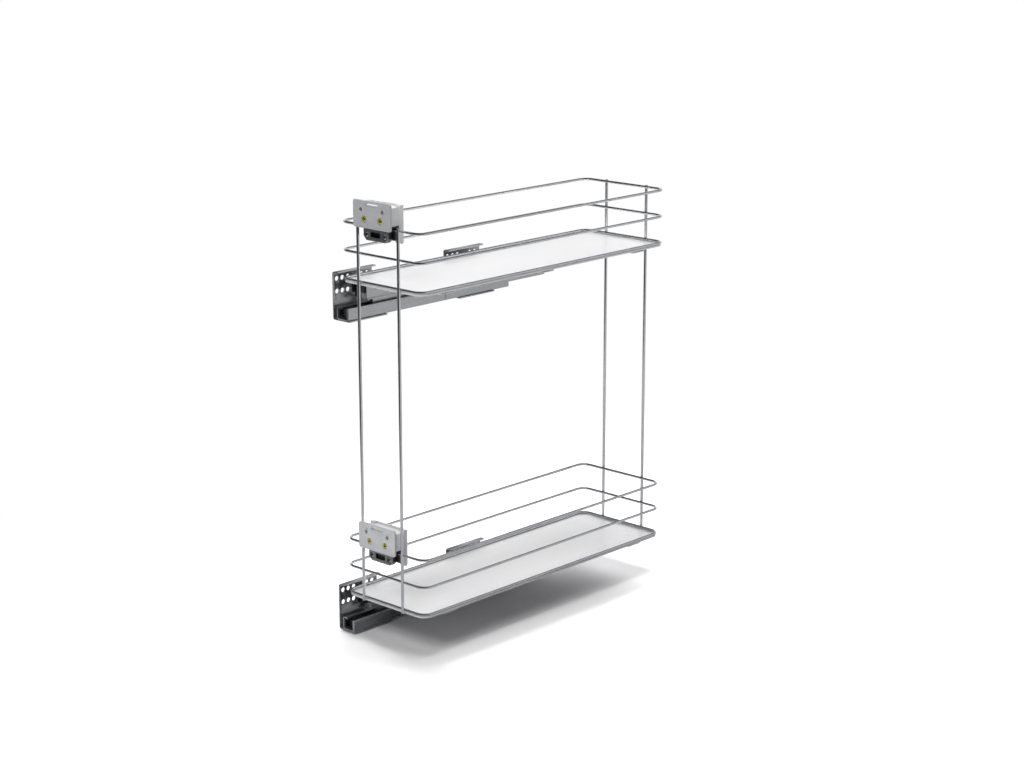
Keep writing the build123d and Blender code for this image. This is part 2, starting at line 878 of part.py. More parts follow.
def nut_plate(name, rail_z):
    """Nut plate behind the housing's front wall, drawn up by the adjusting screws."""
    front = housing_front + housing_sheet + sliding_gap
    with BuildPart() as nut:
        with BuildSketch(cross_section(front)):
            with Locations((basket_x, rail_z + adjust_screw_rise)):
                RectangleRounded(adjust_screw_spacing + 2 * nut_plate_margin, nut_plate_height, nut_plate_corner)
            with Locations(*mirrored(adjust_screw_spacing / 2, rail_z + adjust_screw_rise)):
                Circle(adjust_screw_d / 2 + screw_fit / 2, mode=Mode.SUBTRACT)
        extrude(amount=-nut_plate_sheet)
    keep(nut, name)


def bracket_housing(name, rail_z):
    """Hood of the front bracket, on a flange that ends in two fingers behind the top rail wire."""
    half = housing_width / 2
    reach = half + housing_flange_proud
    skirt = rail_z + housing_skirt
    top = rail_z + housing_top
    finger_front = housing_back - finger_depth
    flange_front = housing_back - housing_sheet
    inner_half = half - housing_sheet
    with BuildPart() as housing:
        with BuildSketch(Plane.XY.offset(skirt)):
            with Locations((basket_x, (housing_front + housing_back) / 2)):
                RectangleRounded(housing_width, housing_depth, housing_edge)
        extrude(amount=top - skirt)
        fillet(housing.faces().sort_by(Axis.Z)[-1].edges(), housing_edge)
        with BuildSketch(Plane.XY.offset(skirt)):
            with Locations((basket_x, (housing_front + housing_back) / 2)):
                Rectangle(2 * inner_half, housing_depth - 2 * housing_sheet)
        extrude(amount=top - skirt - housing_sheet, mode=Mode.SUBTRACT)
        with BuildSketch(Plane.XY.offset(skirt)):
            with Locations((basket_x, (housing_front + finger_front) / 2)):
                Rectangle(housing_width, finger_front - housing_front)
                Rectangle(
                    housing_width - 2 * housing_rebate, finger_front - housing_front, mode=Mode.SUBTRACT
                )
        extrude(amount=housing_rebate_top - housing_skirt, mode=Mode.SUBTRACT)
        with BuildSketch(side_section(basket_x - reach)):
            with BuildLine():
                Polyline(
                    (finger_front, rail_z - finger_drop),
                    (housing_back, rail_z - finger_drop),
                    (housing_back, top + housing_flange_rise),
                    (finger_front, top + housing_flange_rise),
                    close=True,
                )
            make_face()
            tips = [(finger_front, rail_z - finger_drop), (housing_back, rail_z - finger_drop)]
            fillet(corners_at(*tips), finger_tip_round)
            fillet(corners_at((finger_front, top + housing_flange_rise)), housing_edge)
        extrude(amount=finger_width + housing_flange_proud)
        mirror(about=Plane.YZ.offset(basket_x))
        with BuildSketch(cross_section(flange_front)):
            with BuildLine():
                Polyline(
                    (basket_x - half, rail_z - pad_drop),
                    (basket_x + half, rail_z - pad_drop),
                    (basket_x + half, top + housing_flange_rise),
                    (basket_x - half, top + housing_flange_rise),
                    close=True,
                )
            make_face()
            with Locations(*mirrored(clamp_screw_spacing / 2, rail_z - clamp_screw_drop)):
                Circle(clamp_screw_d / 2 + screw_fit, mode=Mode.SUBTRACT)
        extrude(amount=-housing_sheet)
        rib_length = flange_front - finger_front
        with BuildSketch(Plane.XY.offset(skirt + housing_sheet)):
            with Locations(*mirrored(housing_rib_spacing / 2, finger_front + rib_length / 2)):
                Rectangle(housing_rib, rib_length)
        extrude(amount=top - skirt - 2 * housing_sheet)
        with BuildSketch(cross_section(housing_front)):
            with Locations(*mirrored(adjust_screw_spacing / 2, rail_z + adjust_screw_rise)):
                SlotOverall(
                    adjust_screw_d + 2 * adjust_travel + 2 * adjust_play,
                    adjust_screw_d + 2 * adjust_play,
                    rotation=90,
                )
        extrude(amount=-housing_sheet, mode=Mode.SUBTRACT)
        with BuildSketch(cross_section(housing_front)):
            with Locations(*mirrored(door_hole_spacing / 2, rail_z + door_hole_rise)):
                SlotOverall(door_slot_length, door_slot_width, rotation=90)
        extrude(amount=-housing_depth, mode=Mode.SUBTRACT)
    keep(housing, name)


def clamp_pad(name, rail_z):
    """Rear half of the wire clamp, seated between the housing's fingers, with a cover under the hood."""
    pad_front = basket_front + rail_wire_d / 2 + wire_seat_gap
    step = housing_back - finger_depth - seat_gap
    pad_back = housing_back - housing_sheet - seat_gap
    wide = pad_width / 2
    narrow = housing_width / 2 - finger_width - seat_gap
    low = rail_z - pad_drop
    cover_width = housing_width - 2 * housing_rebate - 2 * sliding_gap
    cover_top = rail_z + housing_skirt - seat_gap
    with BuildPart() as pad:
        with BuildSketch(Plane.XY.offset(low)):
            with BuildLine():
                Polyline(
                    (basket_x - wide, pad_front),
                    (basket_x + wide, pad_front),
                    (basket_x + wide, step),
                    (basket_x + narrow, step),
                    (basket_x + narrow, pad_back),
                    (basket_x - narrow, pad_back),
                    (basket_x - narrow, step),
                    (basket_x - wide, step),
                    close=True,
                )
            make_face()
        extrude(amount=cover_top - low)
        chamfer(pad.faces().sort_by(Axis.Y)[0].edges().sort_by(Axis.Z)[0], pad_edge)
        with BuildSketch(Plane.XY.offset(rail_z + cover_rise)):
            with Locations((basket_x, (housing_front + step) / 2)):
                Rectangle(cover_width, step - housing_front)
        extrude(amount=cover_top - rail_z - cover_rise)
        with BuildSketch(cross_section(pad_front)):
            with Locations(*mirrored(clamp_screw_spacing / 2, rail_z - clamp_screw_drop)):
                Circle(clamp_screw_d / 2 + screw_fit)
        extrude(amount=-(pad_back - pad_front), mode=Mode.SUBTRACT)
    keep(pad, name)


def clamp_jaw(name, rail_z):
    """Front jaw that grips the top rail wire against the clamp pad."""
    front = basket_front - jaw_front
    depth = jaw_front + jaw_back
    half = jaw_width / 2
    low = rail_z - jaw_drop
    places = mirrored(clamp_screw_spacing / 2, rail_z - clamp_screw_drop)
    groove = rail_wire_d + 2 * wire_seat_gap
    with BuildPart() as jaw:
        with BuildSketch(cross_section(front)):
            with BuildLine():
                Polyline(
                    (basket_x - half + jaw_bevel, low),
                    (basket_x + half - jaw_bevel, low),
                    (basket_x + half, low + jaw_bevel),
                    (basket_x + half, rail_z + jaw_rise),
                    (basket_x - half, rail_z + jaw_rise),
                    (basket_x - half, low + jaw_bevel),
                    close=True,
                )
            make_face()
        extrude(amount=-depth)
        chamfer(jaw.faces().sort_by(Axis.Y)[0].edges(), jaw_edge)
        with BuildSketch(cross_section(front)):
            with Locations((basket_x, rail_z - clamp_screw_drop + jaw_edge)):
                Rectangle(jaw_recess_width, jaw_recess_height)
        extrude(amount=-jaw_recess_depth, mode=Mode.SUBTRACT)
        with BuildSketch(side_section(basket_x - half)):
            with Locations((basket_front, rail_z)):
                Circle(groove / 2)
            with Locations((basket_front + jaw_back, rail_z)):
                Rectangle(2 * jaw_back, groove)
        extrude(amount=jaw_width, mode=Mode.SUBTRACT)
        with BuildSketch(cross_section(front)):
            with Locations(*places):
                Circle(clamp_screw_d / 2 + screw_fit)
        extrude(amount=-depth, mode=Mode.SUBTRACT)
        with BuildSketch(cross_section(front)):
            with Locations(*places):
                Circle(clamp_screw_head_d / 2 + head_pocket_play)
        extrude(amount=-(clamp_screw_head_height - clamp_screw_proud), mode=Mode.SUBTRACT)
    keep(jaw, name)


# Both decks, each with its runner, its shelf and its front bracket
for deck, deck_z in decks.items():
    wall_plate(f"{deck}_front_wall_plate", plate_front, deck_z)
    wall_plate(f"{deck}_rear_wall_plate", plate_front + rear_plate_pitch, deck_z)
    cabinet_rail(f"{deck}_cabinet_rail", deck_z)
    rail_rivets(f"{deck}_rail_rivets", deck_z)
    rail_front_guide(f"{deck}_rail_front_guide", deck_z)
    middle_profile(f"{deck}_middle_profile", deck_z)
    foot_box = (middle_left, middle_right, middle_bottom, middle_foot_top)
    head_box = (middle_head_left, middle_right, middle_head_bottom, middle_top)
    cage(
        f"{deck}_outer_cage",
        f"{deck}_outer_cage_rollers",
        foot_box,
        rail_left + rail_lip,
        plate_front + outer_cage_place,
        outer_cage_length,
        False,
        deck_z,
    )
    cage(
        f"{deck}_inner_cage",
        f"{deck}_inner_cage_rollers",
        head_box,
        drawer_inner_left + drawer_left_lip,
        middle_front + inner_cage_place,
        inner_cage_length,
        True,
        deck_z,
    )
    drawer_profile(f"{deck}_drawer_profile", deck_z)
    drawer_rear_guide(f"{deck}_drawer_rear_guide", deck_z)
    locating_pins(f"{deck}_locating_pins", deck_z)
    front_catch(f"{deck}_front_catch", deck_z)
    catch_lever(f"{deck}_catch_lever", deck_z)
    catch_pin(f"{deck}_catch_pin", deck_z)
    cross_channels(f"{deck}_cross_channels", deck_z)
    shelf_tray(f"{deck}_shelf_tray", deck_z)
    wire_ring(f"{deck}_shelf_rim", rim_z + deck_z)
    wire_ring(f"{deck}_middle_rail", rim_z + deck_z + rail_spacing)
    wire_ring(f"{deck}_top_rail", rim_z + deck_z + 2 * rail_spacing)
    top_rail_z = rim_z + deck_z + 2 * rail_spacing
    front_plate(f"{deck}_front_plate", top_rail_z)
    nut_plate(f"{deck}_nut_plate", top_rail_z)
    bracket_housing(f"{deck}_bracket_housing", top_rail_z)
    clamp_pad(f"{deck}_clamp_pad", top_rail_z)
    clamp_jaw(f"{deck}_clamp_jaw", top_rail_z)
    cross_head_screws(
        f"{deck}_adjusting_screws",
        mirrored(adjust_screw_spacing / 2, top_rail_z + adjust_screw_rise),
        basket_front - front_plate_reach + front_plate_relief + head_pocket_depth - adjust_screw_head_height,
        adjust_screw_head_d,
        adjust_screw_head_height,
        adjust_screw_d,
        adjust_screw_length,
    )
    cross_head_screws(
        f"{deck}_clamp_screws",
        mirrored(clamp_screw_spacing / 2, top_rail_z - clamp_screw_drop),
        basket_front - jaw_front - clamp_screw_proud,
        clamp_screw_head_d,
        clamp_screw_head_height,
        clamp_screw_d,
        clamp_screw_length,
    )

# Four upright rods outside the rings
for side, place in {"left": -1, "right": 1}.items():
    x = basket_x + place * rod_spacing / 2
    upright_rod(f"front_{side}_rod", x, basket_front - rod_offset)
    upright_rod(f"rear_{side}_rod", x, basket_front + basket_length + rod_offset)
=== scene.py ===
"""Dresses the two-tier pull-out basket, with its wires, shelves, runners and brackets, in a white studio."""

import json
import logging
import math
from collections.abc import Mapping, Sequence
from dataclasses import dataclass, field
from enum import Enum
from typing import Any, Union

import bmesh
import bpy
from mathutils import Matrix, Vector


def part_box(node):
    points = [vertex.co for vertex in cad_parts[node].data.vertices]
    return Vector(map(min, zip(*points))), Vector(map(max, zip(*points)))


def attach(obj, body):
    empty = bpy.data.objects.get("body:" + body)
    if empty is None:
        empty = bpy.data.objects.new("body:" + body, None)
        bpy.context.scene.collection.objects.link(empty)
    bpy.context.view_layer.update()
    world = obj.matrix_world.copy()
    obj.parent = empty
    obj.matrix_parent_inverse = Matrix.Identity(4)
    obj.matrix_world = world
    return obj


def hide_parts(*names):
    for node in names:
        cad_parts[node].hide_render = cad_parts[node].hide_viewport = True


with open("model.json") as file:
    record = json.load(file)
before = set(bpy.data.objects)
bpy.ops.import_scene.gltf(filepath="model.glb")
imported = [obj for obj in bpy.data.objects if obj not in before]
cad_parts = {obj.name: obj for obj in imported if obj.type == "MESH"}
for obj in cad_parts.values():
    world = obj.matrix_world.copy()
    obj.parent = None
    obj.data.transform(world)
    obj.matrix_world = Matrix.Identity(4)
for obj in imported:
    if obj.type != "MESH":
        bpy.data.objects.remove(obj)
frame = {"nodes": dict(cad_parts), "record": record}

log = logging.getLogger("pull_out_basket")

MM = 0.001
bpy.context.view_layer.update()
RECORD = frame["record"]
BODY_OF = {node: body for body, nodes in RECORD["behaviour"]["bodies"].items() for node in nodes}
SLOT_OF = {row["node"]: row["material_slot"] for row in RECORD["subparts"]}

Colour = tuple[float, float, float]
Point = tuple[float, float, float]
Window = tuple[float, float]
Operand = Union["Signal", float, int]

WHITE: Colour = (1.0, 1.0, 1.0)
# Most of a noise's values lie in the first of these ranges, and nearly all in the second.
NARROW: Window = (0.35, 0.65)
WIDE: Window = (0.3, 0.7)


class Slot(Enum):
    """The record's material slots, by the stuff that each one names."""

    WIRE = "chrome_wire"
    SHELF = "white_steel"
    SHEET = "zinc_sheet"
    STEEL = "steel"
    SCREW = "yellow_zinc"
    CLAMP_SCREW = "dark_steel"
    BLACK = "black_plastic"
    DARK = "dark_plastic"
    IVORY = "ivory_plastic"
    GREY = "grey_plastic"
    LIGHT = "light_plastic"


class Signal:
    """One output socket, on which Python's arithmetic adds Math nodes."""

    def __init__(self, graph: "Graph", socket: bpy.types.NodeSocket) -> None:
        """Keeps the graph and the socket."""
        self.graph = graph
        self.socket = socket

    def maths(self, operation: str, first: Operand, second: Operand) -> "Signal":
        """Adds one Math node.

        Args:
            operation: The Math node's operation.
            first: Its first value or link.
            second: Its second value or link.

        Returns:
            The node's result.
        """
        return self.graph.node("ShaderNodeMath", {"operation": operation}, {0: first, 1: second}).out("Value")

    def __add__(self, other: Operand) -> "Signal":
        """Self plus other."""
        return self.maths("ADD", self, other)

    __radd__ = __add__

    def __sub__(self, other: Operand) -> "Signal":
        """Self minus other."""
        return self.maths("SUBTRACT", self, other)

    def __rsub__(self, other: Operand) -> "Signal":
        """Other minus self."""
        return self.maths("SUBTRACT", other, self)

    def __mul__(self, other: Operand) -> "Signal":
        """Self times other."""
        return self.maths("MULTIPLY", self, other)

    __rmul__ = __mul__

    def mingle(self, other: "Signal", share: float) -> "Signal":
        """Self by its share, plus other by the rest."""
        return self * share + other * (1.0 - share)


@dataclass(frozen=True)
class Layer:
    """One layer of noise in a finish.

    Attributes:
        waves: How fine it is along each axis, in waves to the metre.
        detail: How many finer layers it has in it.
    """

    waves: Point
    detail: float = 3.0


class Built:
    """A node that has been added to a graph."""

    def __init__(self, graph: "Graph", node: bpy.types.Node) -> None:
        """Keeps the graph and the node."""
        self.graph = graph
        self.node = node

    def out(self, name: str | int = 0) -> Signal:
        """The output socket of that name or place."""
        return Signal(self.graph, self.node.outputs[name])


class Graph:
    """A node tree in the making, for a finish or for geometry that repeats."""

    def __init__(self, tree: bpy.types.NodeTree) -> None:
        """Empties the tree and keeps it."""
        self.tree = tree
        tree.nodes.clear()

    def node(
        self,
        kind: str,
        settings: Mapping[str, Any] | None = None,
        sockets: Mapping[str | int, Any] | None = None,
    ) -> Built:
        """Adds one node of any type.

        Args:
            kind: The node's type.
            settings: Its properties, set first. "stops" holds a ramp's places and colours.
            sockets: The values or links of its inputs, by name or place.

        Returns:
            The new node.
        """
        made = self.tree.nodes.new(kind)
        for key, value in (settings or {}).items():
            if key == "stops":
                elements = made.color_ramp.elements
                while len(elements) < len(value):
                    elements.new(0.5)
                for element, (place, colour) in zip(elements, value):
                    element.position = place
                    element.color = (*colour, 1.0)
            else:
                setattr(made, key, value)
        for key, value in (sockets or {}).items():
            for one in value if isinstance(value, list) else [value]:
                if isinstance(one, Signal):
                    self.tree.links.new(one.socket, made.inputs[key])
                else:
                    made.inputs[key].default_value = one
        return Built(self, made)

    def blend(self, factor: Operand, first: Any, second: Any) -> Signal:
        """Mixes two colours.

        Args:
            factor: How much of the second colour shows.
            first: The first colour or link.
            second: The second colour or link.

        Returns:
            The mixed colour.
        """
        tints = [x if isinstance(x, Signal) else (*x, 1.0) for x in (first, second)]
        return self.node("ShaderNodeMix", {"data_type": "RGBA"}, {0: factor, 6: tints[0], 7: tints[1]}).out(2)

    def spread(self, value: Signal, low: float, high: float, to_low: float, to_high: float) -> Signal:
        """Maps a range of values onto another, and clamps it.

        Args:
            value: What is mapped.
            low: The value that gives to_low.
            high: The value that gives to_high.
            to_low: The result at low.
            to_high: The result at high.

        Returns:
            The mapped value.
        """
        places = {0: value, 1: low, 2: high, 3: to_low, 4: to_high}
        return self.node("ShaderNodeMapRange", {"clamp": True}, places).out("Result")

    def noise(self, layer: Layer) -> Signal:
        """Adds a noise over the object's own coordinates.

        Args:
            layer: How fine the noise is.

        Returns:
            The noise, from 0 to 1.
        """
        place = self.node("ShaderNodeTexCoord").out("Object")
        mapped = self.node("ShaderNodeMapping", {}, {"Vector": place, "Scale": layer.waves}).out("Vector")
        sockets = {"Vector": mapped, "Scale": 1.0, "Detail": layer.detail}
        return self.node("ShaderNodeTexNoise", {}, sockets).out(0)


@dataclass(frozen=True)
class Finish:
    """What every finish has: a name, two close tints, a range of roughness and a fine relief.

    Attributes:
        name: The material's name.
        tint: The main colour.
        other: The colour that it drifts to.
        smooth: The lowest roughness.
        rough: The highest roughness.
        metallic: 1 for bare metal, 0 for plastic and coating.
        relief: How deep the bump is, in metres, and how much of it shows.
        front: Where the pieces' front is along the depth axis, if shade is painted into their recesses.
        recess_shade_tint: The painted shade: the dark tint that the recesses take, standing in for the shade
            that falls in them.
        recess: How far behind the front the painted shade starts, and from where it is full.
    """

    name: str
    tint: Colour
    other: Colour
    smooth: float
    rough: float
    metallic: float = 0.0
    relief: tuple[float, float] = (0.005 * MM, 0.5)
    front: float | None = None
    # Painted shade: the default dark tint that recesses behind the front take.
    recess_shade_tint: Colour = (0.045, 0.045, 0.047)
    recess: Window = (0.9 * MM, 2.0 * MM)

    def tints(self, graph: Graph, noise: Signal, window: Window = NARROW) -> Signal:
        """The main colour and the other one, mixed by a noise."""
        return graph.blend(graph.spread(noise, *window, 0.0, 1.0), self.tint, self.other)

    def roughness(self, graph: Graph, noise: Signal, window: Window = NARROW) -> Signal:
        """The range of roughness, gone through by a noise."""
        return graph.spread(noise, *window, self.smooth, self.rough)

    def surface(self, graph: Graph, shader: Built) -> None:
        """Adds what this finish has of its own. The plain finish has nothing more."""

    def dress(self, graph: Graph, shader: Built, tint: Signal, rough: Signal, height: Signal) -> None:
        """Feeds the shader, and paints shade into the recesses where the finish has a front.

        Args:
            graph: The material's graph.
            shader: The shader.
            tint: The colour.
            rough: The roughness.
            height: The relief's height, from 0 to 1.
        """
        depth, strength = self.relief
        sockets = {"Height": height, "Distance": depth, "Strength": strength}
        bump = graph.node("ShaderNodeBump", {}, sockets).out("Normal")
        feeds = {"Base Color": tint, "Roughness": rough, "Normal": bump}
        # Painted shade: behind the front, the colour darkens to the shade tint and turns fully metallic,
        # standing in for the shade in recesses.
        if self.front is not None:
            place = graph.node("ShaderNodeTexCoord").out("Object")
            along = graph.node("ShaderNodeSeparateXYZ", {}, {"Vector": place}).out("Y")
            start, full = self.recess
            shade_mask = graph.spread(along, self.front + start, self.front + full, 0.0, 1.0)
            feeds["Base Color"] = graph.blend(shade_mask, tint, self.recess_shade_tint)
            feeds["Metallic"] = graph.spread(shade_mask, 0.0, 1.0, self.metallic, 1.0)
        for name, signal in feeds.items():
            graph.tree.links.new(signal.socket, shader.node.inputs[name])

    def make(self) -> bpy.types.Material:
        """Builds the material.

        Returns:
            The material, named like the finish.
        """
        material = bpy.data.materials.new(self.name)
        material.use_nodes = True
        graph = Graph(material.node_tree)
        shader = graph.node("ShaderNodeBsdfPrincipled", {}, {"Metallic": self.metallic})
        graph.node("ShaderNodeOutputMaterial", {}, {"Surface": shader.out("BSDF")})
        self.surface(graph, shader)
        material.diffuse_color = (*self.tint, 1.0)
        return material


@dataclass(frozen=True)
class PlatedWire(Finish):
    """Bright chrome on drawn wire: nearly a mirror, with a trace of cloud and of the wire's own waviness.

    Attributes:
        cloud: The cloud.
        wave: The waviness.
        cloud_share: The cloud's share in the roughness.
    """

    relief: tuple[float, float] = (0.004 * MM, 0.5)
    cloud: Layer = Layer((90.0, 90.0, 90.0))
    wave: Layer = Layer((1400.0, 1400.0, 1400.0), 2.0)
    cloud_share: float = 0.7

    def surface(self, graph: Graph, shader: Built) -> None:
        """Cloud in the tint and roughness, and a very fine waviness.

        Args:
            graph: The material's graph.
            shader: The shader.
        """
        cloud, wave = graph.noise(self.cloud), graph.noise(self.wave)
        rough = self.roughness(graph, cloud.mingle(wave, self.cloud_share))
        self.dress(graph, shader, self.tints(graph, cloud), rough, wave)


@dataclass(frozen=True)
class Coating(Finish):
    """Smooth white coating on sheet steel, with a soft gloss and a slight orange peel.

    Attributes:
        coat: How much clear gloss lies on top.
        coat_rough: The gloss's roughness.
        drift: The slow drift of tint and gloss.
        peel: The orange peel.
        drift_share: The drift's share in the roughness.
    """

    relief: tuple[float, float] = (0.006 * MM, 0.14)
    coat: float = 0.3
    coat_rough: float = 0.12
    drift: Layer = Layer((9.0, 4.0, 9.0), 2.0)
    peel: Layer = Layer((620.0, 620.0, 620.0), 1.0)
    drift_share: float = 0.85

    def surface(self, graph: Graph, shader: Built) -> None:
        """Slow drift of tint and gloss, and orange peel.

        Args:
            graph: The material's graph.
            shader: The shader.
        """
        shader.node.inputs["Coat Weight"].default_value = self.coat
        shader.node.inputs["Coat Roughness"].default_value = self.coat_rough
        drift, peel = graph.noise(self.drift), graph.noise(self.peel)
        rough = self.roughness(graph, drift.mingle(peel, self.drift_share), WIDE)
        self.dress(graph, shader, self.tints(graph, drift, WIDE), rough, peel)


@dataclass(frozen=True)
class RolledSheet(Finish):
    """Zinc-plated cold-rolled sheet, with rolling lines along the runner and faint cloudy plating.

    Attributes:
        lines: The rolling lines, long along the runner and fine across it.
        cloud: The plating's cloud.
        rubbed: The rubbed places.
        tint_share: The lines' share in the tint.
        gloss_share: The lines' share in the roughness.
        rubbed_window: The range of the noise in which rubbing sets in.
        rubbed_most: How much a fully rubbed place darkens.
        rubbed_shade: How dark the rubbed tint is, against the main one.
    """

    relief: tuple[float, float] = (0.005 * MM, 0.35)
    lines: Layer = Layer((900.0, 9.0, 900.0), 4.0)
    cloud: Layer = Layer((45.0, 22.0, 45.0), 4.0)
    rubbed: Layer = Layer((16.0, 7.0, 16.0), 5.0)
    tint_share: float = 0.45
    gloss_share: float = 0.5
    rubbed_window: Window = (0.56, 0.74)
    rubbed_most: float = 0.45
    rubbed_shade: float = 0.82

    def surface(self, graph: Graph, shader: Built) -> None:
        """Rolling lines, cloud, and a few darker rubbed places.

        Args:
            graph: The material's graph.
            shader: The shader.
        """
        lines, cloud = graph.noise(self.lines), graph.noise(self.cloud)
        tint = self.tints(graph, lines.mingle(cloud, self.tint_share))
        rubbed = graph.spread(graph.noise(self.rubbed), *self.rubbed_window, 0.0, self.rubbed_most)
        tint = graph.blend(rubbed, tint, tuple(self.rubbed_shade * x for x in self.tint))
        rough = self.roughness(graph, lines.mingle(cloud, self.gloss_share))
        self.dress(graph, shader, tint, rough, lines)


@dataclass(frozen=True)
class TurnedSteel(Finish):
    """Bright steel of rollers, pins, rivets and clamp screws, with fine marks all over.

    Attributes:
        marks: The marks, finest along the height.
    """

    relief: tuple[float, float] = (0.006 * MM, 0.5)
    marks: Layer = Layer((700.0, 700.0, 2600.0))

    def surface(self, graph: Graph, shader: Built) -> None:
        """Fine marks in tint, roughness and height.

        Args:
            graph: The material's graph.
            shader: The shader.
        """
        marks = graph.noise(self.marks)
        self.dress(graph, shader, self.tints(graph, marks), self.roughness(graph, marks, WIDE), marks)


@dataclass(frozen=True)
class YellowPlating(Finish):
    """Yellow-passivated screws, whose colour drifts between straw, green and rose.

    Attributes:
        rose: The third tint.
        drift: The drift of the colour.
        fine: The satin relief.
        bands: Where in the drift the other, the main and the third tint are pure.
    """

    rose: Colour = (0.88, 0.77, 0.32)
    drift: Layer = Layer((170.0, 170.0, 170.0), 2.0)
    fine: Layer = Layer((1500.0, 1500.0, 1500.0), 2.0)
    bands: tuple[float, float, float] = (0.32, 0.5, 0.68)

    def surface(self, graph: Graph, shader: Built) -> None:
        """Drifting tints and a satin roughness.

        Args:
            graph: The material's graph.
            shader: The shader.
        """
        drift, fine = graph.noise(self.drift), graph.noise(self.fine)
        stops = list(zip(self.bands, (self.other, self.tint, self.rose)))
        tint = graph.node("ShaderNodeValToRGB", {"stops": stops}, {"Fac": drift}).out("Color")
        self.dress(graph, shader, tint, self.roughness(graph, fine), fine)


@dataclass(frozen=True)
class MouldedPlastic(Finish):
    """Injection-moulded plastic with an eroded grain and a slight unevenness of colour.

    Attributes:
        shine: The refractive index, which sets how much the surface mirrors.
        grain: The eroded grain.
        drift: The slow drift of colour.
        grain_share: The grain's share in the roughness.
    """

    relief: tuple[float, float] = (0.03 * MM, 0.7)
    shine: float = 1.5
    grain: Layer = Layer((1700.0, 1700.0, 1700.0))
    drift: Layer = Layer((55.0, 55.0, 55.0))
    grain_share: float = 0.7

    def surface(self, graph: Graph, shader: Built) -> None:
        """Grain, and slow drift of tint and roughness.

        Args:
            graph: The material's graph.
            shader: The shader.
        """
        shader.node.inputs["IOR"].default_value = self.shine
        grain, drift = graph.noise(self.grain), graph.noise(self.drift)
        rough = self.roughness(graph, grain.mingle(drift, self.grain_share))
        self.dress(graph, shader, self.tints(graph, drift), rough, grain)


@dataclass
class Palette:
    """The finishes of this object, one for each of the record's slots.

    Attributes:
        made: The materials, by slot.
    """

    made: dict[Slot, bpy.types.Material] = field(default_factory=dict)

    def metals(self) -> dict[Slot, Finish]:
        """The finishes of the wire, the coated shelf, the sheet, the turned steel and the screws.

        Returns:
            The finishes, by slot.
        """
        return {
            Slot.WIRE: PlatedWire(
                "bright_chrome_wire",
                tint=(0.78, 0.79, 0.81),
                other=(0.86, 0.87, 0.88),
                smooth=0.08,
                rough=0.17,
                metallic=1.0,
            ),
            Slot.SHELF: Coating(
                "white_coated_shelf",
                tint=(0.79, 0.79, 0.80),
                other=(0.82, 0.82, 0.825),
                smooth=0.26,
                rough=0.34,
            ),
            Slot.SHEET: RolledSheet(
                "zinc_plated_sheet",
                tint=(0.58, 0.59, 0.605),
                other=(0.68, 0.69, 0.70),
                smooth=0.24,
                rough=0.36,
                metallic=0.97,
            ),
            Slot.STEEL: TurnedSteel(
                "bright_turned_steel",
                tint=(0.58, 0.58, 0.60),
                other=(0.70, 0.70, 0.71),
                smooth=0.18,
                rough=0.32,
                metallic=1.0,
            ),
            Slot.SCREW: YellowPlating(
                "yellow_zinc_screws",
                tint=(0.88, 0.88, 0.14),
                other=(0.74, 0.83, 0.16),
                smooth=0.12,
                rough=0.24,
                metallic=0.65,
                # Painted shade: the cross recesses behind the heads' front darken to this tint, standing in
                # for the shade in them.
                front=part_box("upper_adjusting_screws")[0].y,
                recess_shade_tint=(0.06, 0.06, 0.02),
            ),
            Slot.CLAMP_SCREW: TurnedSteel(
                "dark_zinc_screws",
                tint=(0.74, 0.74, 0.75),
                other=(0.82, 0.82, 0.83),
                smooth=0.16,
                rough=0.28,
                metallic=1.0,
            ),
        }

    def plastics(self) -> dict[Slot, Finish]:
        """The finishes of the guides, the clamp, the cages, the bracket's face and its hood.

        Returns:
            The finishes, by slot.
        """
        return {
            Slot.BLACK: MouldedPlastic(
                "black_guide_plastic",
                tint=(0.012, 0.012, 0.013),
                other=(0.022, 0.022, 0.023),
                smooth=0.38,
                rough=0.55,
            ),
            Slot.DARK: MouldedPlastic(
                "charcoal_clamp_plastic",
                tint=(0.10, 0.10, 0.103),
                other=(0.125, 0.125, 0.128),
                smooth=0.24,
                rough=0.36,
                metallic=0.2,
                # Painted shade: the jaw's recess and everything behind its front face darken to the default
                # shade tint, standing in for the shade there.
                front=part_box("upper_clamp_jaw")[0].y,
                shine=2.7,
            ),
            Slot.IVORY: MouldedPlastic(
                "ivory_cage_plastic",
                tint=(0.72, 0.69, 0.60),
                other=(0.78, 0.76, 0.68),
                smooth=0.35,
                rough=0.5,
            ),
            Slot.GREY: MouldedPlastic(
                "grey_face_plastic",
                tint=(0.52, 0.525, 0.545),
                other=(0.55, 0.555, 0.575),
                smooth=0.32,
                rough=0.46,
                shine=1.9,
            ),
            Slot.LIGHT: MouldedPlastic(
                "pale_hood_plastic",
                tint=(0.74, 0.74, 0.75),
                other=(0.79, 0.79, 0.80),
                smooth=0.4,
                rough=0.58,
            ),
        }

    def mix(self) -> None:
        """Builds every material."""
        for slot, finish in (self.metals() | self.plastics()).items():
            self.made[slot] = finish.make()
            log.info("finish %s for slot %s", finish.name, slot.value)

    def of_node(self, node: str) -> bpy.types.Material:
        """The material of a CAD node's slot."""
        return self.made[Slot(SLOT_OF[node])]


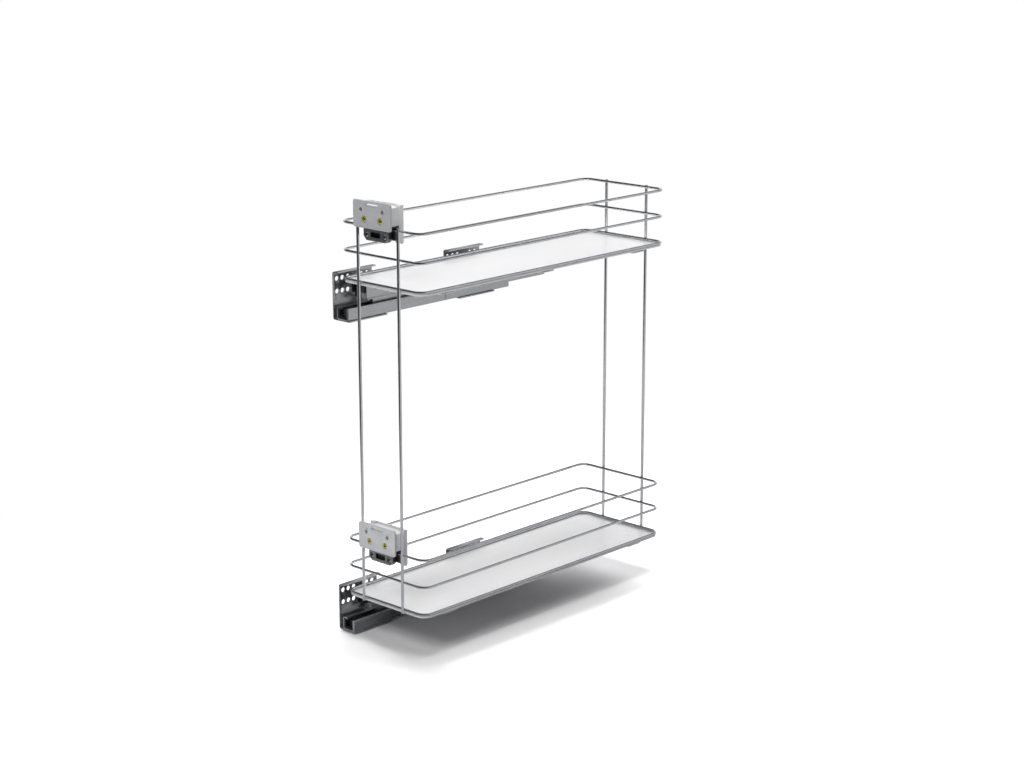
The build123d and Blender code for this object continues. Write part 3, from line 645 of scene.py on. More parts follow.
@dataclass
class Recipe:
    """A Geometry Nodes tree with named inputs, which ends in Realize Instances and Set Material.

    Attributes:
        name: The tree's name.
        sizes: Its named sizes, in metres or counts.
    """

    name: str
    sizes: Mapping[str, float]

    def __post_init__(self) -> None:
        """Builds the tree."""
        self.tree = bpy.data.node_groups.new(self.name, "GeometryNodeTree")
        self.graph = Graph(self.tree)
        face = self.tree.interface
        face.new_socket(name="Geometry", in_out="INPUT", socket_type="NodeSocketGeometry")
        for size, value in self.sizes.items():
            kind = "NodeSocketInt" if isinstance(value, int) else "NodeSocketFloat"
            face.new_socket(name=size, in_out="INPUT", socket_type=kind).default_value = value
        face.new_socket(name="Material", in_out="INPUT", socket_type="NodeSocketMaterial")
        face.new_socket(name="Geometry", in_out="OUTPUT", socket_type="NodeSocketGeometry")
        self.given = self.graph.node("NodeGroupInput")
        plain = self.graph.node("GeometryNodeRealizeInstances", {}, {"Geometry": self.cook()}).out("Geometry")
        sockets = {"Geometry": plain, "Material": self.given.out("Material")}
        dressed = self.graph.node("GeometryNodeSetMaterial", {}, sockets).out("Geometry")
        self.graph.node("NodeGroupOutput", {}, {"Geometry": dressed})

    def size(self, name: str) -> Signal:
        """One of the tree's named sizes."""
        return self.given.out(name)

    def cook(self) -> Signal:
        """Builds the geometry and returns it. Each recipe has its own."""
        return self.given.out("Geometry")

    def vector(self, x: Operand, y: Operand, z: Operand) -> Signal:
        """A vector of three values or links."""
        return self.graph.node("ShaderNodeCombineXYZ", {}, {0: x, 1: y, 2: z}).out("Vector")

    def placed(self, what: Signal, **how: Any) -> Signal:
        """The geometry with a Translation, Rotation or Scale."""
        return self.graph.node("GeometryNodeTransform", {}, {"Geometry": what, **how}).out("Geometry")

    def raised(self, what: Signal, height: Operand) -> Signal:
        """The geometry, moved up."""
        return self.placed(what, Translation=self.vector(0.0, 0.0, height))

    def smoothed(self, what: Signal) -> Signal:
        """The geometry, shaded smooth."""
        sockets = {"Geometry": what, "Shade Smooth": True}
        return self.graph.node("GeometryNodeSetShadeSmooth", {}, sockets).out("Geometry")

    def joined(self, *parts: Signal) -> Signal:
        """Several geometries as one."""
        return self.graph.node("GeometryNodeJoinGeometry", {}, {"Geometry": list(parts)}).out("Geometry")

    def carved(self, operation: str, sockets: Mapping[str, Any]) -> Signal:
        """The result of an exact boolean."""
        settings = {"operation": operation, "solver": "EXACT"}
        return self.graph.node("GeometryNodeMeshBoolean", settings, sockets).out("Mesh")

    def cone(self, sides: Operand, foot: Operand, top: Operand, height: Operand) -> Signal:
        """A closed cone that stands on its foot, by the radius of foot and top."""
        sockets = {"Vertices": sides, "Radius Bottom": foot, "Radius Top": top, "Depth": height}
        return self.graph.node("GeometryNodeMeshCone", {"fill_type": "NGON"}, sockets).out("Mesh")

    def cylinder(self, sides: Operand, radius: Operand, height: Operand, ends: str = "NGON") -> Signal:
        """A cylinder around its own middle, with closed ends or without."""
        sockets = {"Vertices": sides, "Radius": radius, "Depth": height}
        return self.graph.node("GeometryNodeMeshCylinder", {"fill_type": ends}, sockets).out("Mesh")

    def ball(self, segments: int, rings: int, radius: float) -> Signal:
        """A ball with poles above and below."""
        sockets = {"Segments": segments, "Rings": rings, "Radius": radius}
        return self.graph.node("GeometryNodeMeshUVSphere", {}, sockets).out("Mesh")

    def dome(self, facets: tuple[int, int], radius: Signal, rise: Signal, way: float) -> Signal:
        """Half of a flattened ball.

        Args:
            facets: The ball's segments and rings.
            radius: Its radius, seen from above.
            rise: Its height above or below the middle.
            way: 1 for the upper half, -1 for the lower.

        Returns:
            The half, closed by a flat face.
        """
        ball = self.placed(self.ball(*facets, 1.0), Scale=self.vector(radius, radius, rise))
        wider = radius * 4.0
        box = {"Size": self.vector(wider, wider, rise * 2.0)}
        half = self.raised(self.graph.node("GeometryNodeMeshCube", {}, box).out("Mesh"), rise * way)
        return self.carved("INTERSECT", {"Mesh 2": [ball, half]})

    def on_points(self, what: Signal, turn: Point = (0.0, 0.0, 0.0)) -> Signal:
        """The geometry on every point of the piece.

        Args:
            what: What is repeated.
            turn: The turn of each copy about X, Y and Z, in radians.

        Returns:
            The copies.
        """
        sockets = {"Points": self.given.out("Geometry"), "Instance": what, "Rotation": turn}
        return self.graph.node("GeometryNodeInstanceOnPoints", {}, sockets).out("Instances")

    def run(self, name: str, points: Sequence[Point], material: bpy.types.Material) -> bpy.types.Object:
        """Makes a plain mesh piece from the tree.

        Args:
            name: The piece's name.
            points: Where its copies stand, in metres.
            material: Its finish.

        Returns:
            The finished piece, at the origin.
        """
        seed = bpy.data.meshes.new(name + "_points")
        seed.from_pydata([tuple(p) for p in points], [], [])
        piece = bpy.data.objects.new(name, seed)
        bpy.context.scene.collection.objects.link(piece)
        modifier = piece.modifiers.new(self.name, "NODES")
        modifier.node_group = self.tree
        inputs = {s.name: s.identifier for s in self.tree.interface.items_tree if s.in_out == "INPUT"}
        for size, value in self.sizes.items():
            modifier[inputs[size]] = value
        modifier[inputs["Material"]] = material
        evaluated = piece.evaluated_get(bpy.context.evaluated_depsgraph_get())
        mesh = bpy.data.meshes.new_from_object(evaluated)
        piece.modifiers.remove(modifier)
        piece.data = mesh
        mesh.name = name
        face_outwards(mesh)
        bpy.data.meshes.remove(seed)
        return piece


class WireRing(Recipe):
    """One closed ring of round wire with rounded corners, on each point."""

    def cook(self) -> Signal:
        """A filleted rectangle, swept with a circle.

        Returns:
            The rings.
        """
        g = self.graph
        sides = {"Width": self.size("Width"), "Height": self.size("Length")}
        flat = g.node("GeometryNodeCurvePrimitiveQuadrilateral", {"mode": "RECTANGLE"}, sides).out("Curve")
        corner = {"Curve": flat, "Radius": self.size("Corner Radius"), "Count": self.size("Corner Steps")}
        path = g.node("GeometryNodeFilletCurve", {"mode": "POLY"}, corner).out("Curve")
        ring = {"Resolution": self.size("Wire Sides"), "Radius": self.size("Wire Diameter") * 0.5}
        profile = g.node("GeometryNodeCurvePrimitiveCircle", {"mode": "RADIUS"}, ring).out("Curve")
        wire = g.node("GeometryNodeCurveToMesh", {}, {"Curve": path, "Profile Curve": profile}).out("Mesh")
        return self.on_points(self.smoothed(wire))


class UprightRod(Recipe):
    """One upright rod with eased ends, from each point upwards."""

    def cook(self) -> Signal:
        """A stack: an eased foot, the long shaft and an eased top.

        Returns:
            The rods.
        """
        sides, height, ease = self.size("Sides"), self.size("Height"), self.size("Ease")
        radius = self.size("Diameter") * 0.5
        narrow = radius - ease
        foot = self.cone(sides, narrow, radius, ease)
        shaft = self.raised(self.cylinder(sides, radius, height - ease * 2.0, "NONE"), height * 0.5)
        top = self.raised(self.cone(sides, radius, narrow, ease), height - ease)
        return self.on_points(self.joined(foot, shaft, top))


class SpotWeld(Recipe):
    """One small welded bead, pressed flat, on each point where a rod meets a ring."""

    # The bead's segments and rings.
    FACETS = (20, 12)

    def cook(self) -> Signal:
        """A small flattened ball."""
        wide = self.vector(self.size("Width"), self.size("Depth"), self.size("Height"))
        return self.on_points(self.smoothed(self.placed(self.ball(*self.FACETS, 0.5), Scale=wide)))


class CrossHeadScrew(Recipe):
    """One cross-head screw on each point, its head towards the front."""

    # The dome's segments and rings, and the sides of the shank.
    FACETS, SIDES = (40, 24), 28
    # The corners of the cross's arms, from an arm's middle, for a width of 1 at the mouth.
    MOUTH, BOTTOM = 0.70711, 0.42
    # The arms' mouth and the plane that the cross's depth counts from, in heights of the head.
    MOUTH_PLACE, DEPTH_PLACE = 1.45, 1.15
    # The core's share of the thread's diameter, a ridge's share of the pitch, and how many pitches below the
    # head the first ridge is.
    CORE, RIDGE, FIRST_RIDGE = 0.86, 0.45, 1.2

    def cook(self) -> Signal:
        """A domed head with a tapered cross cut into it, on a threaded shank.

        Returns:
            The screws.
        """
        rise = self.size("Head Height")
        head = self.dome(self.FACETS, self.size("Head Diameter") * 0.5, rise, 1.0)
        arms = self.arms(rise)
        crossed = self.carved("DIFFERENCE", {"Mesh 1": head, "Mesh 2": arms})
        return self.on_points(self.joined(crossed, *self.shank(arms)), (math.pi / 2, 0.0, 0.0))

    def arms(self, rise: Signal) -> list[Signal]:
        """The two tapered arms of the cross, at right angles.

        Args:
            rise: The head's height.

        Returns:
            What is cut out of the head and the shank.
        """
        depth = self.size("Cross Depth")
        tall = depth + rise * (self.MOUTH_PLACE - self.DEPTH_PLACE)
        scale = self.vector(self.size("Cross Length"), self.size("Cross Width"), tall)
        start = self.vector(0.0, 0.0, rise * self.DEPTH_PLACE - depth)
        square = self.placed(self.cone(4, self.BOTTOM, self.MOUTH, 1.0), Rotation=(0.0, 0.0, math.pi / 4))
        arm = self.placed(square, Scale=scale, Translation=start)
        return [self.placed(arm, Rotation=(0.0, 0.0, turn)) for turn in (0.0, math.pi / 2)]

    def shank(self, arms: Sequence[Signal]) -> list[Signal]:
        """The shank, ringed by its thread.

        Args:
            arms: The arms of the cross, which go on into the shank.

        Returns:
            The shank and the thread's ridges.
        """
        length, pitch = self.size("Shank Length"), self.size("Thread Pitch")
        radius = self.size("Shank Diameter") * 0.5
        root = radius * self.CORE
        core = self.raised(self.cylinder(self.SIDES, root, length), length * -0.5)
        hollow = self.carved("DIFFERENCE", {"Mesh 1": core, "Mesh 2": list(arms)})
        ridge = self.cone(self.SIDES, root, radius, pitch * self.RIDGE)
        steps = {"Count": self.size("Threads"), "Offset": self.vector(0.0, 0.0, pitch * -1.0)}
        line = self.graph.node("GeometryNodeMeshLine", {"mode": "OFFSET"}, steps).out("Mesh")
        rings = self.graph.node("GeometryNodeInstanceOnPoints", {}, {"Points": line, "Instance": ridge})
        return [hollow, self.raised(rings.out("Instances"), pitch * -self.FIRST_RIDGE)]


class FlushRivet(Recipe):
    """One rivet on each point: a low domed head below the plate's foot, and a flush head in the rail."""

    # The domed head's segments and rings, and the sides of the shank.
    FACETS, SIDES = (32, 16), 24
    # The flush head's sides, and its share of the domed head's diameter.
    FLUSH_SIDES, FLUSH = 32, 0.965

    def cook(self) -> Signal:
        """A shank between a dome and a flared disc.

        Returns:
            The rivets.
        """
        radius, shank_radius = self.size("Head Diameter") * 0.5, self.size("Shank Diameter") * 0.5
        grip, sink = self.size("Grip"), self.size("Sink")
        head = self.dome(self.FACETS, radius, self.size("Head Height"), -1.0)
        shank = self.raised(self.cylinder(self.SIDES, shank_radius, grip), grip * 0.5)
        flare = self.raised(self.cone(self.FLUSH_SIDES, shank_radius, radius * self.FLUSH, sink), grip - sink)
        return self.on_points(self.joined(head, shank, flare))


def face_outwards(mesh: bpy.types.Mesh, touching: float = 0.001 * MM) -> None:
    """Merges a mesh's doubles and turns its faces outwards.

    Args:
        mesh: The mesh.
        touching: Corners closer than this become one, in metres.
    """
    bm = bmesh.new()
    bm.from_mesh(mesh)
    bmesh.ops.remove_doubles(bm, verts=bm.verts, dist=touching)
    bmesh.ops.recalc_face_normals(bm, faces=bm.faces)
    bm.to_mesh(mesh)
    bm.free()


def smooth_sides(mesh: bpy.types.Mesh, limit: float = 40.0) -> None:
    """Shades a mesh smooth, and keeps the edges that turn by more than the limit sharp.

    Args:
        mesh: The mesh.
        limit: The angle in degrees.
    """
    bm = bmesh.new()
    bm.from_mesh(mesh)
    for face in bm.faces:
        face.smooth = True
    for edge in bm.edges:
        edge.smooth = len(edge.link_faces) == 2 and edge.calc_face_angle(0.0) < math.radians(limit)
    bm.to_mesh(mesh)
    bm.free()


def finish_piece(piece: bpy.types.Object, *nodes: str) -> bpy.types.Object:
    """Fastens a piece to the body of the nodes that it stands for.

    Args:
        piece: The finished piece.
        nodes: The CAD nodes that it replaces.

    Returns:
        The piece.
    """
    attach(piece, BODY_OF[nodes[0]])
    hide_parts(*nodes)
    log.info("piece %s rides on %s for %s", piece.name, BODY_OF[nodes[0]], ", ".join(nodes))
    return piece


@dataclass
class Bench:
    """What the sub-assemblies share: the finishes, and the ways to dress a CAD node.

    Attributes:
        palette: The finishes.
        touching: Corners of a CAD mesh closer than this become one, in metres.
        flat: Its faces that turn by less than this many degrees become one.
        steps: How many faces an eased edge has.
    """

    palette: Palette
    touching: float = 0.002 * MM
    flat: float = 0.4
    steps: int = 2

    def paint(self, node: str) -> None:
        """Gives a CAD node that keeps its mesh the finish of its slot.

        Args:
            node: The CAD node.
        """
        for place in frame["nodes"][node].material_slots:
            place.material = self.palette.of_node(node)
        log.info("node %s keeps its mesh", node)

    def ease(self, node: str, name: str, width: float, limit: float = 34.0) -> bpy.types.Object:
        """Copies a CAD node and rounds its sharp edges by a hair, as pressed and moulded edges are.

        Args:
            node: The CAD node.
            name: The piece's name.
            width: How wide the rounding is, in metres.
            limit: Edges that turn by less than this many degrees stay as they are.

        Returns:
            The piece, which replaces the node.
        """
        mesh = frame["nodes"][node].data.copy()
        bm = bmesh.new()
        bm.from_mesh(mesh)
        bmesh.ops.remove_doubles(bm, verts=bm.verts, dist=self.touching)
        bmesh.ops.dissolve_limit(bm, angle_limit=math.radians(self.flat), verts=bm.verts, edges=bm.edges)
        bm.to_mesh(mesh)
        bm.free()
        mesh.shade_smooth()
        piece = bpy.data.objects.new(name, mesh)
        bpy.context.scene.collection.objects.link(piece)
        bevel = piece.modifiers.new("eased_edges", "BEVEL")
        bevel.width = width
        bevel.segments = self.steps
        bevel.limit_method = "ANGLE"
        bevel.angle_limit = math.radians(limit)
        bevel.harden_normals = True
        bevel.use_clamp_overlap = True
        evaluated = piece.evaluated_get(bpy.context.evaluated_depsgraph_get())
        plain = bpy.data.meshes.new_from_object(evaluated)
        piece.modifiers.remove(bevel)
        piece.data = plain
        plain.name = name
        plain.materials.clear()
        plain.materials.append(self.palette.of_node(node))
        bpy.data.meshes.remove(mesh)
        return finish_piece(piece, node)


@dataclass
class Deck:
    """One of the two decks.

    Attributes:
        name: What the names of its CAD nodes start with.
    """

    name: str

    def node(self, part: str) -> str:
        """The name of one of the deck's CAD nodes."""
        return f"{self.name}_{part}"


@dataclass
class WireBasket:
    """The rings, rods, welds and shelves that hold the goods.

    Attributes:
        bench: The shared tools.
        decks: Both decks.
        width: Between the centre lines of a ring's long sides.
        length: Between the centre lines of a ring's short sides.
        corner: The radius of a ring's corners.
        corner_steps: How many points each corner has.
        wire: The rings' wire diameter.
        wire_sides: How many sides the wire has.
        rod: The rods' diameter.
        rod_sides: How many sides a rod has.
        rod_ease: The rounding of a rod's ends.
        sink: How far a rod is pressed into a ring.
        weld: A welded bead's width, depth and height.
        tray_ease: The rounding of a tray's cut edges.
        tray_limit: A tray's edges that turn by less than this many degrees stay as they are.
        channel_ease: The rounding of a channel's cut edges.
    """

    bench: Bench
    decks: Sequence[Deck]
    width: float = 138.5 * MM
    length: float = 450.0 * MM
    corner: float = 13.0 * MM
    corner_steps: int = 14
    wire: float = 3.4 * MM
    wire_sides: int = 20
    rod: float = 4.0 * MM
    rod_sides: int = 28
    rod_ease: float = 0.5 * MM
    sink: float = 0.2 * MM
    weld: Point = (2.3 * MM, 0.9 * MM, 2.1 * MM)
    tray_ease: float = 0.22 * MM
    tray_limit: float = 50.0
    channel_ease: float = 0.25 * MM

    def build(self) -> None:
        """Makes every piece of the basket."""
        self.rings()
        self.rods()
        self.shelves()

    def ring_nodes(self) -> list[str]:
        """The names of all six rings."""
        return [deck.node(ring) for deck in self.decks for ring in ("shelf_rim", "middle_rail", "top_rail")]

    def rings(self) -> None:
        """The six smooth wire rings."""
        sizes = {
            "Width": self.width,
            "Length": self.length,
            "Corner Radius": self.corner,
            "Corner Steps": self.corner_steps,
            "Wire Sides": self.wire_sides,
            "Wire Diameter": self.wire,
        }
        recipe = WireRing("wire_ring", sizes)
        for node in self.ring_nodes():
            low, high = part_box(node)
            piece = recipe.run(node + "_wire", [(low + high) / 2], self.bench.palette.of_node(node))
            finish_piece(piece, node)

    def rods(self) -> None:
        """The four rods, and the welds that hold the rings on them."""
        names = ["front_left_rod", "front_right_rod", "rear_left_rod", "rear_right_rod"]
        boxes = [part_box(name) for name in names]
        feet = [((low.x + high.x) / 2, (low.y + high.y) / 2, low.z) for low, high in boxes]
        low, high = boxes[0]
        sizes = {
            "Diameter": self.rod,
            "Ease": self.rod_ease,
            "Height": high.z - low.z,
            "Sides": self.rod_sides,
        }
        recipe = UprightRod("upright_rod", sizes)
        rods = recipe.run("upright_rods", feet, self.bench.palette.of_node(names[0]))
        smooth_sides(rods.data)
        finish_piece(rods, *names)
        self.welds(feet, names[0])

    def welds(self, feet: Sequence[Point], rod: str) -> None:
        """The welded beads, one where each rod meets each ring.

        Args:
            feet: Where the rods stand.
            rod: A rod's CAD node, whose body and finish the beads share.
        """
        places = []
        for ring in self.ring_nodes():
            low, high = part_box(ring)
            for x, y, _ in feet:
                front = y < (low.y + high.y) / 2
                edge = low.y + self.sink / 2 if front else high.y - self.sink / 2
                places.append((x, edge, (low.z + high.z) / 2))
        sizes = dict(zip(("Width", "Depth", "Height"), self.weld))
        beads = SpotWeld("spot_weld", sizes).run("spot_welds", places, self.bench.palette.of_node(rod))
        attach(beads, BODY_OF[rod])
        log.info("piece %s rides on %s", beads.name, BODY_OF[rod])

    def shelves(self) -> None:
        """The two coated trays and the channels under them."""
        for deck in self.decks:
            tray, channels = deck.node("shelf_tray"), deck.node("cross_channels")
            self.bench.ease(tray, deck.node("coated_shelf"), self.tray_ease, self.tray_limit)
            self.bench.ease(channels, deck.node("hat_channels"), self.channel_ease)


@dataclass
class Runner:
    """One deck's telescopic runner, from the wall plates to the catch.

    Attributes:
        bench: The shared tools.
        deck: The deck that it carries.
        sheet_ease: The rounding of cut sheet edges.
        moulded_ease: The rounding of moulded edges.
        cage_ease: The rounding of the roller cages' thin edges.
        rivet_pitch: Between the two rivets of a wall plate.
        rivet_shank: A rivet's diameter.
        rivet_sink: How deep a rivet's flush head lies in the rail.
    """

    bench: Bench
    deck: Deck
    sheet_ease: float = 0.22 * MM
    moulded_ease: float = 0.3 * MM
    cage_ease: float = 0.12 * MM
    rivet_pitch: float = 41.0 * MM
    rivet_shank: float = 4.0 * MM
    rivet_sink: float = 1.3 * MM

    def build(self) -> None:
        """Makes every piece of the runner."""
        sheets = ("front_wall_plate", "rear_wall_plate", "cabinet_rail", "middle_profile", "drawer_profile")
        mouldings = ("front_catch", "catch_lever", "rail_front_guide", "drawer_rear_guide")
        self.ease_all(sheets, "_sheet", self.sheet_ease)
        self.ease_all(mouldings, "_moulding", self.moulded_ease)
        self.ease_all(("outer_cage", "inner_cage"), "_moulding", self.cage_ease)
        for part in ("locating_pins", "catch_pin", "outer_cage_rollers", "inner_cage_rollers"):
            self.bench.paint(self.deck.node(part))
        self.rivets()

    def ease_all(self, parts: Sequence[str], ending: str, width: float) -> None:
        """Rounds the sharp edges of several CAD nodes.

        Args:
            parts: The nodes' names without the deck.
            ending: What is added to a node's name for its piece.
            width: How wide the rounding is, in metres.
        """
        for part in parts:
            node = self.deck.node(part)
            self.bench.ease(node, node + ending, width)

    def rivets(self) -> None:
        """The four rivets that close the rail onto the plates."""
        node = self.deck.node("rail_rivets")
        low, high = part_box(node)
        plate_low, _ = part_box(self.deck.node("front_wall_plate"))
        radius = (high.x - low.x) / 2
        first, last = low.y + radius, high.y - radius
        rows = (first, first + self.rivet_pitch, last - self.rivet_pitch, last)
        places = [((low.x + high.x) / 2, y, plate_low.z) for y in rows]
        sizes = {
            "Head Diameter": 2 * radius,
            "Head Height": plate_low.z - low.z,
            "Shank Diameter": self.rivet_shank,
            "Grip": high.z - plate_low.z,
            "Sink": self.rivet_sink,
        }
        piece = FlushRivet("flush_rivet", sizes).run(node + "_set", places, self.bench.palette.of_node(node))
        smooth_sides(piece.data)
        finish_piece(piece, node)


@dataclass(frozen=True)
class ScrewSize:
    """The sizes of a cross-head screw, in metres.

    Attributes:
        head: The head's diameter.
        rise: The head's height.
        shank: The thread's diameter.
        pitch: Between two ridges of the thread.
        cross: The cross's length, as a share of the head's diameter.
        slit: The width of the cross's arms.
        below: How much deeper the cross is than the head is high.
    """

    head: float
    rise: float
    shank: float
    pitch: float = 0.7 * MM
    cross: float = 0.74
    slit: float = 1.9 * MM
    below: float = 1.2 * MM


@dataclass
class FrontBracket:
    """One deck's bracket for the cabinet's front panel.

    Attributes:
        bench: The shared tools.
        deck: The deck whose top rail it grips.
        moulded_ease: The rounding of moulded edges.
        adjusting_screw: The yellow screws in the face.
        clamp_screw: The screws in the jaw.
        screw_limit: A screw's edges that turn by more than this many degrees stay sharp.
        bare: The end of a screw that has no thread, in pitches.
    """

    bench: Bench
    deck: Deck
    moulded_ease: float = 0.35 * MM
    adjusting_screw: ScrewSize = ScrewSize(head=7.8 * MM, rise=1.8 * MM, shank=3.8 * MM)
    clamp_screw: ScrewSize = ScrewSize(head=7.0 * MM, rise=2.4 * MM, shank=4.0 * MM)
    screw_limit: float = 30.0
    bare: float = 1.5

    def build(self) -> None:
        """Makes every piece of the bracket."""
        for part in ("front_plate", "bracket_housing", "clamp_pad", "clamp_jaw"):
            node = self.deck.node(part)
            self.bench.ease(node, node + "_moulding", self.moulded_ease)
        self.bench.paint(self.deck.node("nut_plate"))
        self.screws("adjusting_screws", self.adjusting_screw)
        self.screws("clamp_screws", self.clamp_screw)

    def screws(self, part: str, size: ScrewSize) -> None:
        """A pair of cross-head screws in place of a CAD node's plain ones.

        Args:
            part: The CAD node's name without the deck.
            size: The screws' sizes.
        """
        node = self.deck.node(part)
        low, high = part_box(node)
        under, middle = low.y + size.rise, (low.z + high.z) / 2
        length = high.y - under
        places = [(x, under, middle) for x in (low.x + size.head / 2, high.x - size.head / 2)]
        sizes = {
            "Head Diameter": size.head,
            "Head Height": size.rise,
            "Cross Length": size.head * size.cross,
            "Cross Width": size.slit,
            "Cross Depth": size.rise + size.below,
            "Shank Diameter": size.shank,
            "Shank Length": length,
            "Thread Pitch": size.pitch,
            "Threads": int((length - self.bare * size.pitch) / size.pitch),
        }
        recipe = CrossHeadScrew("cross_head_screw", sizes)
        piece = recipe.run(node + "_pair", places, self.bench.palette.of_node(node))
        smooth_sides(piece.data, self.screw_limit)
        finish_piece(piece, node)


@dataclass(frozen=True)
class SoftBox:
    """A rectangular soft light.

    Attributes:
        name: The light's name.
        place: Where it hangs, from the floor below the basket's middle.
        size: Its width and length.
        watts: Its power.
        aim: Where it points, from the same spot.
        beam: The angle of its beam, in degrees.
    """

    name: str
    place: Point
    size: tuple[float, float]
    watts: float
    aim: Point = (0.0, 0.0, 0.0)
    beam: float = 180.0

    def hang(self, middle: Vector) -> None:
        """Adds the light to the scene.

        Args:
            middle: The floor below the basket's middle.
        """
        data = bpy.data.lights.new(self.name, "AREA")
        data.shape = "RECTANGLE"
        data.size, data.size_y = self.size
        data.energy = self.watts
        data.spread = math.radians(self.beam)
        made = bpy.data.objects.new(self.name, data)
        made.location = middle + Vector(self.place)
        made.rotation_euler = (Vector(self.aim) - Vector(self.place)).to_track_quat("-Z", "Y").to_euler()
        made.visible_glossy = False
        made.visible_camera = False
        bpy.context.scene.collection.objects.link(made)


@dataclass
class Studio:
    """The white floor, the soft lights, the surroundings that the chrome mirrors, and the camera.

    Attributes:
        floor_height: Where the floor lies.
        floor_half: Half of the floor's side.
        middle: The point of the floor below the basket's middle.
        shadow_stretch: How much the shadow's zone is squeezed along the basket's length.
        shadow_reach: How far out the floor is lit only by the lights.
        table_reach: How far out the floor glows fully.
        table_front: Where the table that chrome sees ends towards the camera.
        table_fade: How soft that end is.
        paper_tone: The floor's own colour.
        bounce_tone: The floor's colour for the light that it sends back up.
        table_tone: The near table's colour in chrome.
        far_tone: The far table's colour in chrome.
        room_tone: The room's colour in chrome, low down and in front.
        band_tone: The colour of the room's bright band.
        ceiling_tone: The room's colour overhead.
        band: Where the band starts, is full, stays full to, and ends, as the sine of the angle upwards.
        room_front: Between where the room is dark in front and where it is bright behind.
        fill: How bright the dim fill is.
        lights: The soft lights.
        small_light_strength: How strong the small light is.
        small_light_way: Which way it shines.
        small_light_width: How wide it looks, in degrees.
        lens: The camera's focal length in millimetres.
        sensor: The width of its sensor in millimetres.
        clips: The nearest and the furthest that it sees.
        eye: Where the camera stands.
        yaw: How far it is turned from the depth axis, in degrees.
        pitch: How far it looks down, in degrees.
    """

    floor_height: float = -44.0 * MM
    floor_half: float = 30.0
    middle: tuple[float, float] = (0.08, 0.20)
    shadow_stretch: float = 0.67
    shadow_reach: float = 0.35
    table_reach: float = 0.80
    table_front: float = -0.68
    table_fade: float = 0.14
    paper_tone: Colour = (1.32, 1.32, 1.325)
    bounce_tone: Colour = (0.60, 0.60, 0.61)
    table_tone: Colour = (0.38, 0.38, 0.39)
    far_tone: Colour = (0.50, 0.50, 0.51)
    room_tone: Colour = (0.05, 0.05, 0.055)
    band_tone: Colour = (0.75, 0.75, 0.76)
    ceiling_tone: Colour = (0.16, 0.16, 0.165)
    band: tuple[float, float, float, float] = (0.06, 0.14, 0.36, 0.46)
    room_front: Window = (-0.3, 0.15)
    fill: float = 0.015
    lights: Sequence[SoftBox] = (
        SoftBox("back_light", (-1.4, 5.0, 2.7), (8.0, 2.8), 210.0),
        SoftBox("left_light", (-3.0, 2.6, 1.9), (3.0, 1.8), 85.0),
        SoftBox("front_light", (0.5, -2.0, 2.2), (1.2, 1.2), 22.0),
        SoftBox("low_light", (0.255, -0.69, 0.12), (0.2, 0.08), 0.038, aim=(0.005, -0.223, 0.13), beam=28.0),
        SoftBox("top_light", (0.0, 0.1, 3.0), (1.0, 1.6), 32.0),
    )
    small_light_strength: float = 1.0
    small_light_way: Point = (0.6, -0.15, -1.0)
    small_light_width: float = 15.0
    lens: float = 76.64
    sensor: float = 36.0
    clips: tuple[float, float] = (0.05, 100.0)
    eye: Point = (1.93995, -1.7851, 0.9455)
    yaw: float = 43.08
    pitch: float = -14.37

    def build(self) -> None:
        """Makes the floor, the surroundings, the lights and the camera."""
        self.floor()
        self.surroundings()
        for light in self.lights:
            light.hang(Vector((*self.middle, self.floor_height)))
        self.small_light()
        self.camera()

    def floor(self) -> None:
        """A white floor that takes the soft shadow near the object and glows evenly further off.

        Chrome sees it as a pale table of limited size, with a dark room beyond.
        """
        half = self.floor_half
        corners = [(a * half, b * half, self.floor_height) for a, b in ((-1, -1), (1, -1), (1, 1), (-1, 1))]
        mesh = bpy.data.meshes.new("studio_floor")
        mesh.from_pydata(corners, [], [(0, 1, 2, 3)])
        made = bpy.data.objects.new("studio_floor", mesh)
        bpy.context.scene.collection.objects.link(made)
        material = bpy.data.materials.new("floor_paper")
        material.use_nodes = True
        graph = Graph(material.node_tree)
        place = graph.node("ShaderNodeTexCoord").out("Object")
        path = graph.node("ShaderNodeLightPath")
        matt = graph.node("ShaderNodeBsdfDiffuse", {}, {"Color": self.paper(graph, path)}).out("BSDF")
        glow = graph.blend(path.out("Is Glossy Ray"), WHITE, self.table(graph, place))
        light = graph.node("ShaderNodeEmission", {}, {"Color": glow, "Strength": 1.0}).out("Emission")
        edge = graph.spread(self.away(graph, place), self.shadow_reach, self.table_reach, 0.0, 1.0)
        both = graph.node("ShaderNodeMixShader", {}, {0: edge, 1: matt, 2: light}).out("Shader")
        graph.node("ShaderNodeOutputMaterial", {}, {"Surface": both})
        made.data.materials.append(material)

    def paper(self, graph: Graph, path: Built) -> Signal:
        """The floor's matt colour: for the camera, for the light that it sends back, and for chrome."""
        paper = graph.blend(path.out("Is Camera Ray"), self.bounce_tone, self.paper_tone)
        return graph.blend(path.out("Is Glossy Ray"), paper, self.table_tone)

    def table(self, graph: Graph, place: Signal) -> Signal:
        """The far table as chrome sees it, which ends in the dark room towards the camera.

        Args:
            graph: The floor material's graph.
            place: The floor's own coordinates.

        Returns:
            The colour.
        """
        depth = graph.node("ShaderNodeSeparateXYZ", {}, {"Vector": place}).out("Y")
        beyond = graph.spread(depth, self.table_front - self.table_fade, self.table_front, 1.0, 0.0)
        return graph.blend(beyond, self.far_tone, self.room_tone)

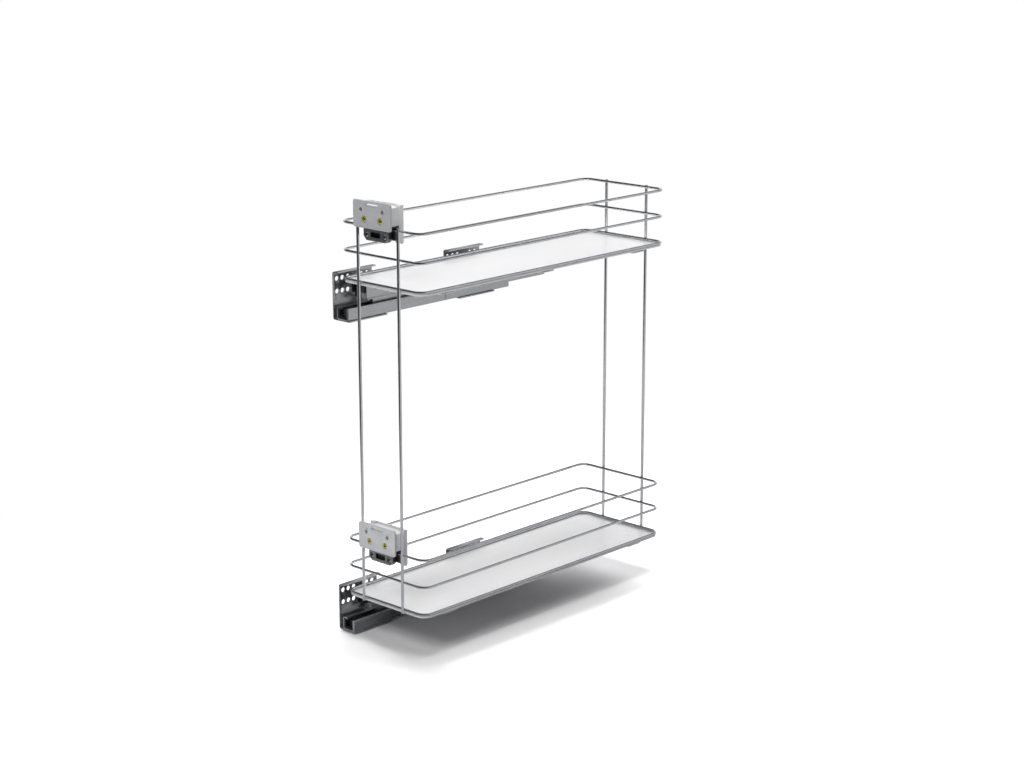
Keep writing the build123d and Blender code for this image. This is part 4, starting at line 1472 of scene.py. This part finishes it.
    def away(self, graph: Graph, place: Signal) -> Signal:
        """How far a point of the floor is from the basket's middle, counted less along its length.

        Args:
            graph: The floor material's graph.
            place: The floor's own coordinates.

        Returns:
            The distance, in metres.
        """
        centre = (-self.middle[0], -self.middle[1] * self.shadow_stretch, -self.floor_height)
        sockets = {"Vector": place, "Location": centre, "Scale": (1.0, self.shadow_stretch, 1.0)}
        around = graph.node("ShaderNodeMapping", {}, sockets).out("Vector")
        return graph.node("ShaderNodeVectorMath", {"operation": "LENGTH"}, {0: around}).out("Value")

    def surroundings(self) -> None:
        """White for the camera, a dim fill for matt surfaces, and for mirrors a room with a bright band."""
        world = bpy.data.worlds.new("studio_surroundings")
        bpy.context.scene.world = world
        world.use_nodes = True
        graph = Graph(world.node_tree)
        path = graph.node("ShaderNodeLightPath")
        way = graph.node("ShaderNodeTexCoord").out("Generated")
        parts = graph.node("ShaderNodeSeparateXYZ", {}, {"Vector": way})
        tones = (self.room_tone, self.band_tone, self.band_tone, self.ceiling_tone)
        stops = {"stops": list(zip(self.band, tones))}
        room = graph.node("ShaderNodeValToRGB", stops, {"Fac": parts.out("Z")}).out("Color")
        behind = graph.spread(parts.out("Y"), *self.room_front, 0.0, 1.0)
        room = graph.blend(behind, self.room_tone, room)
        seen = graph.blend(path.out("Is Glossy Ray"), (self.fill,) * 3, room)
        shown = graph.blend(path.out("Is Camera Ray"), seen, WHITE)
        glow = graph.node("ShaderNodeBackground", {}, {"Color": shown, "Strength": 1.0}).out("Background")
        graph.node("ShaderNodeOutputWorld", {}, {"Surface": glow})

    def small_light(self) -> None:
        """A weak distant lamp from high up on the left, which draws the shadow's faint outer edge."""
        data = bpy.data.lights.new("small_light", "SUN")
        data.energy = self.small_light_strength
        data.angle = math.radians(self.small_light_width)
        made = bpy.data.objects.new("small_light", data)
        made.rotation_euler = Vector(self.small_light_way).to_track_quat("-Z", "Y").to_euler()
        made.visible_glossy = False
        bpy.context.scene.collection.objects.link(made)

    def camera(self) -> None:
        """A long lens from the right front and a little above."""
        data = bpy.data.cameras.new("photo_camera")
        data.lens = self.lens
        data.sensor_width = self.sensor
        data.clip_start, data.clip_end = self.clips
        made = bpy.data.objects.new("photo_camera", data)
        yaw, pitch = math.radians(self.yaw), math.radians(self.pitch)
        ahead = Vector((-math.sin(yaw) * math.cos(pitch), math.cos(yaw) * math.cos(pitch), math.sin(pitch)))
        made.location = self.eye
        made.rotation_euler = ahead.to_track_quat("-Z", "Y").to_euler()
        bpy.context.scene.collection.objects.link(made)
        bpy.context.scene.camera = made
        bpy.context.scene.view_settings.view_transform = "Standard"


def main() -> None:
    """Builds the studio and then each sub-assembly of the basket."""
    logging.basicConfig(level=logging.INFO, format="%(name)s: %(message)s")
    Studio().build()
    palette = Palette()
    palette.mix()
    bench = Bench(palette)
    decks = [Deck("lower"), Deck("upper")]
    WireBasket(bench, decks).build()
    for deck in decks:
        Runner(bench, deck).build()
        FrontBracket(bench, deck).build()


if __name__ == "__main__":
    main()
